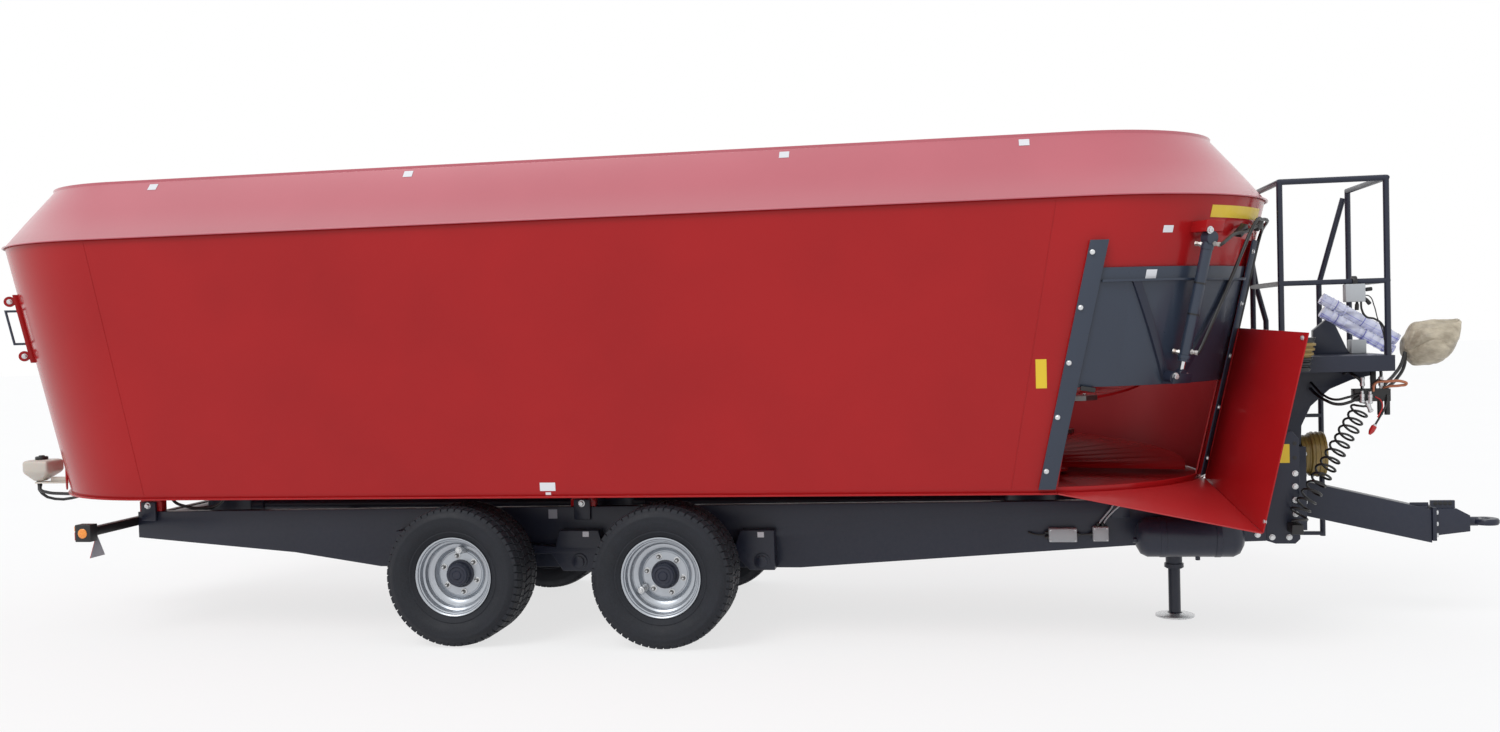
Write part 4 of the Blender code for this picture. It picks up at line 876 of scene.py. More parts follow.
for node, look, bevel in (
    ("chassis_frame", greyPaint, 0.004), ("suspension_right", greyPaint, 0.003),
    ("suspension_left", greyPaint, 0.003),
    ("axle_front", greyPaint, 0.003), ("axle_rear", greyPaint, 0.003), ("front_head", greyPaint, 0.003),
    ("transfer_gearbox", greyPaint, 0.012), ("front_arm", greyPaint, 0.004), ("input_shaft", steel, 0.002),
    ("drawbar", greyPaint, 0.006), ("hitch", greyPaint, 0.003), ("platform", greyPaint, 0.0015),
    ("ladder", greyPaint, 0.0015),
    ("jack_tube", greyPaint, 0.002), ("cylinder_bracket", redPaint, 0.004),
    ("chute_deflector", redPaint, 0.0015), ("chute_floor", chuteRedPaintedLight, 0.0015), ("air_tank", greyPaint, 0.0),
    ("gearbox_front", greyPaint, 0.003), ("gearbox_middle", greyPaint, 0.003),
    ("gearbox_rear", greyPaint, 0.003),
    ("shaft_cradle", greyPaint, 0.002), ("coupling_holder", blackPlastic, 0.002),
    ("cable_gland", blackPlastic, 0.004),
    ("door_hose_upper", hoseRubber, 0.0), ("door_hose_lower", hoseRubber, 0.0),
    ("reservoir_hose", hoseRubber, 0.0),
    ("display_box", paleBox, 0.006), ("junction_box_large", paleBox, 0.006),
    ("junction_box_small", paleBox, 0.006),
    ("input_guard", olivePaint, 0.001), ("stowed_shaft", film, 0.002),
):
    fromCad(node, look, bevel, angle=50 if bevel == 0 else 35)
print("carried-over solids done")

# Hopper floor with its load-cell stands; the pins are zinc
hopperFloor = fromCad("hopper_floor", redPaint, 0.0015)
second(hopperFloor, zinc, lambda m: abs(m.y) > 0.512 and m.z < 0.96)
loadCell = {"places": (-7.36, -4.03, -0.4), "half": 0.058, "low": 0.755, "high": 0.895, "pinZ": 0.868}
plates, pins = [], []
for x in loadCell["places"]:
    for way in (-1, 1):
        near, far = sorted((way * 0.5207, way * 0.544))
        plates.append(block((x - loadCell["half"], near, loadCell["low"]),
                            (x + loadCell["half"], far, loadCell["high"]), 0.004))
        pins.append(((x, way * 0.544, loadCell["pinZ"]), (0, way, 0)))
part("cellPlates", plates, greyPaint)
pinHead = lathe([(0, 0), (0.024, 0), (0.024, 0.005), (0.017, 0.006), (0.017, 0.02), (0.014, 0.023),
                 (0, 0.023)], steps=28)
ready(scattered("cellPins", pinHead, pins), zinc)

# Augers: red flights with dark serrated knives
augers = {
    "auger_front": (-0.95, 345), "auger_middle": (-3.965, 80), "auger_rear": (-6.98, 320),
    "knifeTurns": (0.25, 0.55, 0.85, 1.15, 1.45, 1.7), "turns": 1.85, "lowZ": 1.035, "highZ": 2.12,
    "wide": 1.03, "narrow": 0.36, "fullTurns": 0.5,
}


def flightEdge(turns):
    share = min(max((turns - augers["fullTurns"]) / (augers["turns"] - augers["fullTurns"]), 0), 1)
    return augers["wide"] + (augers["narrow"] - augers["wide"]) * share


def knifeSpots(name):
    # centre, outward and sideways direction of every knife on one auger
    x, lead = augers[name]
    spots = []
    for turns in augers["knifeTurns"]:
        turn = math.radians(lead) + 2 * math.pi * turns
        z = augers["lowZ"] + (augers["highZ"] - augers["lowZ"]) * turns / augers["turns"]
        out = Vector((math.cos(turn), math.sin(turn), 0))
        spots.append((Vector((x, 0, z)) + out * flightEdge(turns), out, Vector((-out.y, out.x, 0))))
    return spots


for name in ("auger_front", "auger_middle", "auger_rear"):
    spots = knifeSpots(name)

    def onKnife(m):
        for middle, out, across in spots:
            step = m - middle
            if -0.104 < step.dot(out) < 0.06 and abs(step.dot(across)) < 0.108 and 0.006 < step.z < 0.05:
                return True
        return False

    second(fromCad(name, redPaint, 0.0), knifeSteel, onKnife)
    spotsUp = []
    for middle, out, across in spots:
        for a, b in ((-0.07, -0.055), (-0.07, 0.045)):
            spotsUp.append((tuple(middle + out * a + across * b + Vector((0, 0, 0.0335))), (0, 0, 1)))
    bolts("knifeBolts_" + name, 0.011, spotsUp, body=name)
print("augers done")

# Discharge door: dark braces and clevis on the blue-grey plate, zinc fasteners, red bars behind the guides
door = {
    "slide": Vector((0.205806, -0.053205, 0.977145)), "topPin": frontSkin(36, 2.545, 0.1),
    "guideBolts": (1.133, 1.462, 1.79, 2.12, 2.448), "boltSize": 0.0125, "rodShort": 0.006,
}
doorPlate = fromCad("discharge_door", doorGrey, 0.0012)
second(doorPlate, greyPaint, lambda m: frontOff(m) > 0.0258 and m.z < 2.255)
second(doorPlate, blackPlastic, lambda m: frontOff(m) < 0.0136)


def onCylinder(down):
    # a place on the cylinder's axis, so far below its top pin
    return door["topPin"] - door["slide"] * down


for node, look in (("door_guide_rear", doorGrey), ("door_guide_front", guideGrey)):
    second(fromCad(node, look, 0.0015), redPaint, lambda m: frontOff(m) < 0.0338)
guideSpots = []
for z in door["guideBolts"]:
    for turn in (0.1 + 1.2 + 2.2 * (z - 1.02), 64.5 + 1.3 - 1.4 * (z - 1.02)):
        guideSpots.append((tuple(frontSkin(turn, z, 0.0437)), tuple(skinWay(turn))))
bolts("guideBolts", door["boltSize"], guideSpots, 0.7)

fromCad("door_cylinder", doorGrey, 0.003)
# The rod stops short of the barrel's end when the door is up
pushRod = fromCad("cylinder_rod", chrome, 0.001)
edit(pushRod)
pick("VERT", lambda m: m.dot(door["slide"]) > 2.4)
bpy.ops.transform.translate(value=-door["slide"] * door["rodShort"])
done()
boss = [
    lathe([(0, 0), (0.04, 0), (0.043, 0.003), (0.043, 0.06), (0.04, 0.063), (0, 0.063)],
          frontSkin(36, 2.522, 0.07), skinWay(36), 36),
    hoop(0.0345, 0.0385, 0.019, onCylinder(0.765), door["slide"]),
    hoop(0.0345, 0.0375, 0.031, onCylinder(0.1), door["slide"]),
]
part("cylinderRings", boss, doorGrey)
bands = [hoop(0.0342, 0.0362, 0.0105, onCylinder(d), door["slide"], 32, lip=0.0005) for d in (0.31, 0.5)]
part("cylinderBands", bands, blackPlastic)
pinTurned = [(0, 0), (0.023, 0), (0.023, 0.004), (0.0165, 0.005), (0.0165, 0.016), (0.014, 0.018),
             (0.006, 0.018), (0.005, 0.015), (0, 0.015)]
part("topPin", lathe(pinTurned, frontSkin(34.3, 2.56, 0.1345), skinWay(36), 32), zinc)
eyeAt = onCylinder(0.86)
lowBoss = [
    lathe([(0, 0), (0.034, 0), (0.037, 0.003), (0.037, 0.066), (0.034, 0.069), (0, 0.069)],
          frontSkin(33.6, 1.69, 0.046), skinWay(34), 36),
    lathe([(0, 0), (0.026, 0), (0.028, 0.003), (0.028, 0.04), (0.026, 0.043), (0, 0.043)],
          eyeAt - skinWay(36) * 0.022, skinWay(36), 32),
]
part("clevisBoss", lowBoss, greyPaint, "door")
part("clevisPin", lathe(pinTurned, frontSkin(33.6, 1.69, 0.1145), skinWay(34), 32), zinc, "door")
part("clevisStop", lathe(pinTurned, frontSkin(38.6, 1.685, 0.09), skinWay(38), 32), zinc, "door")
ahead = Vector((0.9, -0.35, 0))
ahead = (ahead - door["slide"] * ahead.dot(door["slide"])).normalized()
fitting = [(0, 0), (0.017, 0), (0.017, 0.02), (0.013, 0.021), (0.013, 0.034), (0.0155, 0.035),
           (0.0155, 0.05), (0, 0.05)]
ports = [lathe(fitting, onCylinder(d) + out * 0.024, out, 6, 20)
         for d, out in ((0.06, ahead), (0.72, ahead), (0.075, -ahead), (0.735, -ahead))]
part("cylinderPorts", ports, steel)
clamps = []
for turn, z in ((52, 2.575), (62.5, 2.615)):
    clamp = block((-0.02, -0.045, 0), (0.02, 0.045, 0.045), 0.004)
    clamps.append(aimed(clamp, frontSkin(turn, z, 0.025), skinWay(turn)))
part("hoseClamps", clamps, blackPlastic)
latch = aimed(block((-0.045, -0.012, 0), (0.045, 0.016, 0.02), 0.003), frontSkin(9.6, 1.628, 0.0245),
              skinWay(9.6))
part("doorLatch", latch, blackPlastic, "door")
skinLabel("doorLabel", frontSkin, (20.7, 23.9), (2.278, 2.336), whiteLabel, 0.0246, "door")
bolts("deflectorBolt", 0.012, [((0.5805, -1.226, 1.905), (-0.959, -0.283, 0)),
                               ((0.35, -1.258, 0.835), (-0.959, -0.283, 0))])
part("deflectorBead", bar((0.154, -0.418, 0.998), (0.366, -0.471, 1.96), 0.009, 14), redPaint)
print("door done")

# Blank labels on the hopper
skinLabel("frontYellow", frontSkin, (39.4, 69.0), (2.648, 2.722), yellowLabel, 0.001)
skinLabel("frontWhite", frontSkin, (24.0, 27.1), (2.556, 2.598), whiteLabel, 0.001)


def sideSkin(x, z, off=0.0):
    return Vector((x, -hopperRadius(z) - off, z))


def collarSkin(x, z, off=0.0):
    share = (z - 3.0) / (3.195 - 3.0)
    return Vector((x, -(1.085 + (0.919 - 1.085) * share) - off * 0.76, z + off * 0.65))


skinLabel("sideYellow", sideSkin, (-0.945, -0.88), (1.638, 1.815), yellowLabel, 0.001)
skinLabel("sideWhite", sideSkin, (-4.125, -4.02), (1.03, 1.085), whiteLabel, 0.001)
skinLabel("sideWhiteLow", sideSkin, (-4.088, -4.052), (1.004, 1.021), whiteLabel, 0.001)
for k, x in enumerate((-6.938, -5.042, -2.481, -0.975)):
    skinLabel("collarLabel%d" % k, collarSkin, (x - 0.032, x + 0.032), (3.135, 3.178), whiteLabel, 0.002)
for name, x, z, y, wide, tall, look in (
    ("beamLabelA", -4.249, 0.792, -0.5212, 0.032, 0.032, greyLabel),
    ("springLabelA", -3.984, 0.665, -0.6212, 0.022, 0.018, whiteLabel),
    ("springLabelB", -2.76, 0.66, -0.6212, 0.022, 0.018, whiteLabel),
    ("headLabel", 0.622, 1.158, -0.5112, 0.03, 0.06, yellowLabel),
):
    part(name, block((x - wide, y - 0.0006, z - tall), (x + wide, y, z + tall), 0.0002, 1), look)
print("labels done")

# Front head: bolts, black discs painted as the shade in holes, hitch plate and drawbar details
headPlaces = ((0.539, 0.622), (0.642, 0.622), (0.684, 0.947), (0.684, 0.859), (0.684, 0.77), (0.684, 1.03))
headSpots = [((x, -0.51, z), (0, -1, 0)) for x, z in headPlaces]
headSpots.append(((0.448, -0.52, 0.64), (0, -1, 0)))
bolts("headBolts", 0.0155, mirrored(headSpots))
# thin black discs on the plates stand for holes: painted shade, not openings
holeShadeDisc = lathe([(0, 0), (0.0135, 0), (0.0135, 0.0008), (0.0125, 0.0012), (0, 0.0012)], steps=24)
holeSpots = mirrored([((0.684, -0.51, z), (0, -1, 0)) for z in (1.221, 1.13)])
holeSpots += mirrored([((x, -0.012, 0.766), (0, -1, 0)) for x in (1.67, 1.7, 1.73, 1.76)])
ready(scattered("holeShadeDiscs", holeShadeDisc, holeSpots), blackPlastic)
hitchSpots = [((1.65, way * 0.078, z), (1, 0, 0)) for way in (-1, 1) for z in (0.565, 0.64, 0.715)]
bolts("hitchBolts", 0.015, hitchSpots)
bracket = [block((1.5, -0.05, 0.735), (1.615, -0.042, 0.778), 0.002),
           block((1.52, -0.085, 0.735), (1.6, -0.045, 0.757), 0.002)]
part("drawbarBracket", bracket, greyPaint)
bulk = mirrored([((0.82, -0.17, z), (1, 0, 0)) for z in (0.68, 0.8, 0.98, 1.12)])
bolts("bulkheadBolts", 0.013, bulk)
ribs = [hoop(r, r + 0.003, 0.007, (x, 0, 1.1), (1, 0, 0), 40)
        for r, x in ((0.1275, 0.845), (0.13, 0.868), (0.1495, 0.9), (0.1498, 0.93), (0.15, 0.958))]
part("guardRibs", ribs, olivePaint)
sleeve = {"place": (0.69, -0.615), "low": 1.685, "high": 1.895, "radius": 0.105, "rings": 6}
outline = [(0, 0), (sleeve["radius"] * 0.62, 0)]
for k in range(sleeve["rings"]):
    z = 0.01 + k * 0.03
    wide = sleeve["radius"] * (0.7 + 0.3 * k / 5)
    outline += [(wide, z), (wide, z + 0.012), (wide - 0.009, z + 0.018), (wide - 0.009, z + 0.026)]
outline += [(sleeve["radius"], sleeve["high"] - sleeve["low"]), (0, sleeve["high"] - sleeve["low"])]
bell = lathe(outline, (*sleeve["place"], sleeve["low"]), (0, 0, 1), 40, 30)
part("guardSleeve", bell, olivePaint)
second(bell, blackPlastic, lambda m: m.z < sleeve["low"] + 0.085 or m.z > sleeve["high"] - 0.03)
hang = line("sleeveHook", [(0.69, -0.615, 1.88), (0.69, -0.6, 1.915), (0.69, -0.545, 1.91),
                           (0.69, -0.512, 1.74)], 0.005)
ready(hang, zinc)
print("front head done")

# Spare shaft: film rolls with rings, tape bands, and the joint in crumpled paper
stow = {"top": Vector((0.98, 0, 2.145)), "end": Vector((1.452, 0, 1.855)), "drop": Vector((0, 0, -0.09)),
        "radius": 0.038}
along = (stow["end"] - stow["top"]).normalized()
rings, tapes = [], []
for base, length in ((stow["top"], 0.554), (stow["top"] + stow["drop"], 0.519)):
    for k in range(11):
        reach = 0.012 + (length - 0.03) * k / 10
        wide = stow["radius"] + (0.0035 if k % 2 else 0.002)
        rings.append(hoop(stow["radius"] - 0.004, wide, 0.008, base + along * reach, along, 28, 60, 0.002))
for reach in (0.1, 0.3, 0.46):
    for base in (stow["top"], stow["top"] + stow["drop"]):
        tapes.append(hoop(stow["radius"], stow["radius"] + 0.003, 0.006, base + along * reach, along, 28, 60))
part("filmRings", rings, film)
part("shaftTapes", tapes, filmBand)

paperBag = {
    # x, middle height, half height, half depth
    "stations": [(1.474, 1.807, 0.05, 0.045), (1.5, 1.81, 0.078, 0.07), (1.528, 1.818, 0.118, 0.1),
                 (1.55, 1.826, 0.148, 0.12),
                 (1.615, 1.829, 0.149, 0.145), (1.68, 1.832, 0.149, 0.15), (1.74, 1.846, 0.138, 0.145),
                 (1.785, 1.88, 0.104, 0.125),
                 (1.815, 1.922, 0.062, 0.09), (1.836, 1.962, 0.022, 0.05)],
    "crumple": 0.012, "pleats": 9, "pleatDepth": 0.015,
}


def crumpledPaper():
    x0, z0, tall0, deep0 = paperBag["stations"][0]
    bpy.ops.mesh.primitive_circle_add(vertices=40, radius=1, fill_type="NGON",
                                      rotation=(0, math.radians(90), 0), location=(x0, 0, z0))
    thing = bpy.context.object
    thing.scale = (tall0, deep0, 1)
    settle(thing, "bag")
    edit(thing)
    bpy.ops.mesh.select_mode(type="FACE")
    bpy.ops.mesh.select_all(action="SELECT")
    for (xa, za, ta, da), (xb, zb, tb, db) in zip(paperBag["stations"], paperBag["stations"][1:]):
        bpy.ops.mesh.extrude_region_move(TRANSFORM_OT_translate={"value": (xb - xa, 0, zb - za)})
        bpy.ops.transform.resize(value=(1, db / da, tb / ta), center_override=(xb, 0, zb))
    bpy.ops.mesh.inset(thickness=0.02)
    bpy.ops.transform.translate(value=(-0.035, 0, 0.0))
    done()
    cleaned(thing)
    applied(thing, "SUBSURF", levels=3, render_levels=3)
    first, last = paperBag["stations"][0], paperBag["stations"][-1]
    for v in thing.data.vertices:
        share = min(max((v.co.x - first[0]) / (last[0] - first[0]), 0), 1)
        middle = Vector((v.co.x, 0, first[1] + (last[1] - first[1]) * share ** 2.5))
        out = (v.co - middle).normalized()
        turn = math.atan2(out.z, out.y) + 0.5 * math.sin(5 * share) + 0.4 * noise.noise(v.co * 9)
        fold = abs(math.sin(turn * paperBag["pleats"] / 2)) ** 0.7
        v.co -= out * paperBag["pleatDepth"] * (1 - fold) * min(share * 6, 1) * (1 - 0.4 * share)
    for size, strength in ((0.11, paperBag["crumple"]), (0.035, paperBag["crumple"] * 0.35)):
        texture = bpy.data.textures.new("crumple", "VORONOI")
        texture.noise_scale = size
        texture.distance_metric = "DISTANCE"
        applied(thing, "DISPLACE", texture=texture, strength=strength, mid_level=0.45, texture_coords="LOCAL")
    smooth(thing, 24)
    thing.name = "paperBag"
    return ready(thing, paper, "stowed_shaft_head")


crumpledPaper()
stringLoop = [(-0.055, 1.79), (-0.03, 1.84), (0.03, 1.84), (0.055, 1.79), (0.02, 1.75), (-0.04, 1.755)]
ready(line("bagString", [(1.487, y, z) for y, z in stringLoop], 0.006), paper)
part("deckBox", block((1.15, -0.055, 1.7705), (1.246, 0.045, 1.862), 0.006), paleBox)
print("stowed shaft done")

# Couplings and hoses under the platform, wires at the display
for name, points, radius, look in (
    ("frontHoseA", [(1.47, -0.1, 1.775), (1.44, -0.12, 1.7), (1.37, -0.2, 1.63),
                    (1.3, -0.27, 1.58), (1.262, -0.295, 1.545)], 0.011, hoseRubber),
    ("frontHoseB", [(1.482, -0.06, 1.77), (1.47, -0.08, 1.69), (1.395, -0.16, 1.6),
                    (1.325, -0.24, 1.56), (1.285, -0.285, 1.545)], 0.011, hoseRubber),
    ("frontHoseC", [(1.278, -0.08, 1.735), (1.3, -0.12, 1.69), (1.29, -0.2, 1.62),
                    (1.245, -0.26, 1.59), (1.215, -0.29, 1.548)], 0.01, hoseRubber),
    ("loopHoseA", [(1.15, -0.3, 1.545), (1.14, -0.3, 1.6), (1.1, -0.29, 1.64),
                   (1.09, -0.2, 1.66), (1.09, -0.105, 1.64)], 0.01, hoseRubber),
    ("loopHoseB", [(1.12, -0.345, 1.5), (1.06, -0.345, 1.468), (0.985, -0.325, 1.455),
                   (0.925, -0.29, 1.48), (0.885, -0.2, 1.52), (0.88, -0.105, 1.545)], 0.01, hoseRubber),
    ("loopHoseC", [(1.12, -0.345, 1.52), (1.05, -0.35, 1.5), (0.975, -0.33, 1.485),
                   (0.92, -0.28, 1.51), (0.89, -0.18, 1.56), (0.885, -0.105, 1.585)], 0.008, hoseRubber),
    ("copperLoop", [(1.205, -0.335, 1.535), (1.215, -0.345, 1.585), (1.29, -0.35, 1.597),
                    (1.385, -0.345, 1.592), (1.405, -0.335, 1.578), (1.37, -0.33, 1.568),
                    (1.3, -0.325, 1.562), (1.27, -0.315, 1.55)], 0.009, copperLine),
    ("displayWireA", [(1.1, -0.485, 2.112), (1.104, -0.486, 2.06), (1.13, -0.484, 2.015),
                      (1.18, -0.48, 2.000), (1.228, -0.474, 1.96), (1.243, -0.468, 1.88),
                      (1.244, -0.465, 1.772)], 0.0065, hoseRubber),
    ("displayWireB", [(1.121, -0.48, 2.15), (1.15, -0.48, 2.145), (1.18, -0.478, 2.08),
                      (1.2, -0.475, 2.000), (1.222, -0.48, 1.94), (1.238, -0.482, 1.85),
                      (1.242, -0.482, 1.772)], 0.0035, hoseRubber),
    ("cableA", [(-0.545, -0.548, 0.7), (-0.53, -0.548, 0.73), (-0.49, -0.552, 0.78),
                (-0.455, -0.55, 0.825), (-0.43, -0.535, 0.885)], 0.0055, paleCable),
    ("cableB", [(-0.515, -0.548, 0.7), (-0.5, -0.548, 0.735), (-0.445, -0.552, 0.8),
                (-0.395, -0.555, 0.85), (-0.375, -0.54, 0.895)], 0.0055, paleCable),
    ("cableC", [(-0.66, -0.545, 0.648), (-0.64, -0.545, 0.646), (-0.62, -0.545, 0.648),
                (-0.6, -0.545, 0.65)], 0.0055, hoseRubber),
    ("cableD", [(-0.88, -0.545, 0.648), (-0.91, -0.545, 0.645), (-0.95, -0.543, 0.648),
                (-0.99, -0.528, 0.66)], 0.006, hoseRubber),
    ("rearHose", [(-7.23, -0.46, 0.983), (-7.21, -0.46, 0.9), (-7.1, -0.46, 0.85),
                  (-6.977, -0.46, 0.838), (-6.85, -0.46, 0.86), (-6.79, -0.46, 0.92),
                  (-6.78, -0.46, 0.983)], 0.011, hoseRubber),
):
    ready(line(name, points, radius), look)
coupling = lathe([
    (0, 0), (0.01, 0), (0.01, 0.018), (0.0155, 0.02), (0.0155, 0.04), (0.0135, 0.042),
    (0.0135, 0.06), (0.0165, 0.062), (0.0165, 0.074), (0.012, 0.078), (0, 0.078),
], steps=24)
couplingSpots = [
    ((1.132, -0.357, 1.54), (0, 0, -1)), ((1.18, -0.357, 1.535), (0, 0, -1)),
    ((1.156, -0.359, 1.475), (0.4, 0, -1)), ((1.262, -0.3, 1.548), (0, 0, 1)),
    ((1.215, -0.29, 1.548), (0, 0, 1)), ((1.15, -0.3, 1.548), (0, 0, 1)),
]
ready(scattered("couplings", coupling, couplingSpots), zinc)
redLine = {
    "route": [(1.288, -0.341, 1.51), (1.283, -0.352, 1.47), (1.262, -0.354, 1.415),
              (1.232, -0.354, 1.36), (1.21, -0.354, 1.322)],
    "radius": 0.0065, "collar": 0.016,
}
redEnd = Vector(redLine["route"][-1])
redWay = (redEnd - Vector(redLine["route"][-2])).normalized()
redHose = ready(line("redHose", redLine["route"], redLine["radius"]), hoseRubber)
redPlug = lathe([(0, 0), (0.01, 0), (0.0135, 0.01), (0.0175, 0.014), (0.0175, 0.046), (0.014, 0.058),
                 (0.006, 0.074), (0, 0.074)], redEnd, redWay, 28)
part("redPlug", redPlug, redCap)
second(redPlug, zinc, lambda m: (m - redEnd).length < redLine["collar"])
length = sum((Vector(q) - Vector(p)).length for p, q in zip(redLine["route"], redLine["route"][1:]))
redWire = [(1.215, -0.341, 1.5), (1.245, -0.356, 1.475), (1.252, -0.36, 1.43), (1.236, -0.3625, 1.395),
           (1.222, -0.3625, 1.368)]
ready(line("redWire", redWire, 0.0045), redCap)
plugs = [lathe([(0, 0), (0.0075, 0), (0.0095, 0.012), (0.0125, 0.016), (0.0125, 0.048), (0.01, 0.052),
                (0, 0.052)], place, way, 20)
         for place, way in (((1.076, -0.487, 2.1095), (-0.05, 0, -1)),
                            ((1.121, -0.488, 2.135), (0.6, 0, -0.8)), ((1.119, -0.47, 2.185), (1, 0, 0.1)))]
plugs.append(lathe([(0.0185, 0), (0.032, 0), (0.034, 0.003), (0.034, 0.025), (0.032, 0.028),
                    (0.0185, 0.028)], (1.046, -0.485, 2.24), (1, 0, 0), 32))
part("displayPlugs", plugs, blackPlastic)
boxes = {"spans": (((-0.86, 0.6), (-0.68, 0.69)), ((-0.58, 0.605), (-0.48, 0.7))), "lidY": -0.5815}
lids, screws = [], []
for (x0, z0), (x1, z1) in boxes["spans"]:
    # a lid with a raised field, each by its margin in x and z, its front, its back and its rounding
    for marginX, marginZ, front, back, edge in (
        (0.003, 0.003, boxes["lidY"], -0.5745, 0.003), (0.016, 0.014, -0.583, -0.5805, 0.001),
    ):
        lids.append(block((x0 + marginX, front, z0 + marginZ), (x1 - marginX, back, z1 - marginZ), edge))
    screws += [((x, boxes["lidY"], z), (0, -1, 0)) for x in (x0 + 0.011, x1 - 0.011)
               for z in (z0 + 0.01, z1 - 0.01)]
part("boxLids", lids, paleBox)
screw = lathe([(0, 0), (0.0045, 0), (0.0045, 0.0015), (0.003, 0.0025), (0, 0.0025)], steps=16)
ready(scattered("boxScrews", screw, screws), zinc)
gland = lathe([(0, 0), (0.014, 0), (0.014, 0.01), (0.011, 0.011), (0.011, 0.02), (0.007, 0.024),
               (0, 0.024)], steps=12, angle=30)
glandSpots = [
    ((-0.8605, -0.545, 0.63), (-1, 0, 0)), ((-0.8605, -0.545, 0.66), (-1, 0, 0)),
    ((-0.6795, -0.545, 0.648), (1, 0, 0)), ((-0.5805, -0.545, 0.65), (-1, 0, 0)),
    ((-0.545, -0.548, 0.6995), (0, 0, 1)), ((-0.515, -0.548, 0.6995), (0, 0, 1)),
]
ready(scattered("boxGlands", gland, glandSpots), blackPlastic)
print("couplings and boxes done")

# Air tank, jack and springs
tankParts = [hoop(0.1252, 0.1278, 0.035, (x, -0.7, 0.655), (1, 0, 0), 56) for x in (-0.185, 0.15)]
tankParts.append(bar((-0.322, -0.735, 0.64), (-0.348, -0.735, 0.64), 0.018, 6))
tankParts.append(bar((0.05, -0.7, 0.533), (0.05, -0.7, 0.508), 0.016, 6))
part("tankBands", tankParts, greyPaint)
second(fromCad("jack_leg", greyPaint, 0.002), zinc, lambda m: m.z < 0.022)
collar = [hoop(0.0555, 0.064, 0.03, (0, 0, z), (0, 0, 1), lip=0.002) for z in (0.335, 0.5)]
part("jackCollars", collar, greyPaint)
straps = {"reach": 0.068, "barY": (0.532, 0.606), "barZ": (0.39, 0.655), "plateReach": 0.085,
          "plateY": (0.522, 0.618)}
strapBars, strapNuts = [], []
for x in wheel["axles"].values():
    for way in (-1, 1):
        for spotX in (x - straps["reach"], x + straps["reach"]):
            for y in straps["barY"]:
                low, high = ((spotX, way * y, z) for z in straps["barZ"])
                strapBars.append(bar(low, high, 0.008, 12))
                strapNuts.append(((spotX, way * y, 0.636), (0, 0, 1)))
        near, far = sorted(way * y for y in straps["plateY"])
        for low, high in ((0.618, 0.636), (0.394, 0.409)):
            plate = block((x - straps["plateReach"], near, low), (x + straps["plateReach"], far, high), 0.003)
            strapBars.append(plate)
part("axleStraps", strapBars, greyPaint)
bolts("strapNuts", 0.013, strapNuts)
pivot = lathe([(0, 0), (0.055, 0), (0.055, 0.008), (0.038, 0.01), (0.038, 0.022), (0.03, 0.026),
               (0, 0.026)], steps=36)
pivotSpots = mirrored([((x, -0.62, z), (0, -1, 0))
                       for x, z in ((-4.035, 0.475), (-2.755, 0.48), (-5.3, 0.5))])
ready(scattered("springPivots", pivot, pivotSpots), greyPaint)
print("running gear done")

# Rear: counter knives with pins, reservoir, lamps and reflectors
for side, way in (("right", 1), ("left", -1)):
    knife = fromCad("counter_knife_" + side, redPaint, 0.002)

    def stands(m):
        off = math.hypot(m.x - rearCentre(m.z), m.y) - hopperRadius(m.z)
        return off > 0.036 and 2.07 < m.z < 2.35

    second(knife, doorGrey, stands)
    across = Vector((-math.cos(math.radians(53)), way * math.sin(math.radians(53)), 0))
    cheeks, pinSpots = [], []
    for z in (2.00, 2.4):
        spot = rearSkin(53, z, 0.062)
        spot = Vector((spot.x, spot.y * way, z))
        cheeks.append(lathe([(0, 0), (0.036, 0), (0.038, 0.002), (0.038, 0.048), (0.036, 0.05),
                             (0, 0.05)], spot - across * 0.025, across, 32))
        pinSpots += [(tuple(spot + across * 0.025 * s), tuple(across * s)) for s in (-1, 1)]
    part("knifeEars_" + side, cheeks, redPaint)
    cap = lathe([(0, 0), (0.019, 0), (0.019, 0.004), (0.014, 0.005), (0.014, 0.014), (0.011, 0.016),
                 (0, 0.016)], steps=28)
    ready(scattered("knifePins_" + side, cap, pinSpots), zinc)

tank = {"low": (-8.43, -0.5), "high": (-8.22, -0.3), "top": 1.198, "shoulder": 1.115, "bottom": 1.046}
shell = block((tank["low"][0], tank["low"][1], tank["bottom"]),
              (tank["high"][0], tank["high"][1], tank["top"]))
edit(shell)
pick("FACE", lambda m: abs(m.z - tank["bottom"]) < 0.001)
bpy.ops.transform.translate(value=(0, 0, tank["shoulder"] - tank["bottom"]))
bpy.ops.mesh.extrude_region_move(TRANSFORM_OT_translate={"value": (0, 0, tank["bottom"] - tank["shoulder"])})
bpy.ops.transform.resize(value=(0.34, 0.34, 1), center_override=(-8.355, -0.41, tank["bottom"]))
pick("FACE", lambda m: abs(m.z - tank["top"]) < 0.001)
bpy.ops.mesh.inset(thickness=0.03)
bpy.ops.transform.translate(value=(0, 0, 0.01))
done()
rounded(shell, 0.016, 4, 30)
shelf = block((-8.36, -0.455, 1.03), (-8.063, -0.365, 1.042), 0.002)
strap = block((-8.245, -0.43, 1.04), (-8.085, -0.39, 1.075), 0.003)
ready(joined("reservoirShell", [shelf, strap, shell]), reservoirShell, "oil_reservoir")
cap = lathe([(0, 0), (0.042, 0), (0.046, 0.004), (0.046, 0.02), (0.04, 0.026), (0.022, 0.027),
             (0.02, 0.034), (0, 0.034)], (-8.335, -0.4, 1.206), (0, 0, 1), 24, 30)
neck = lathe([(0, 0), (0.016, 0), (0.016, 0.02), (0.021, 0.022), (0.021, 0.03), (0, 0.03)],
             (-8.355, -0.41, 1.018), (0, 0, 1), 12, 30)
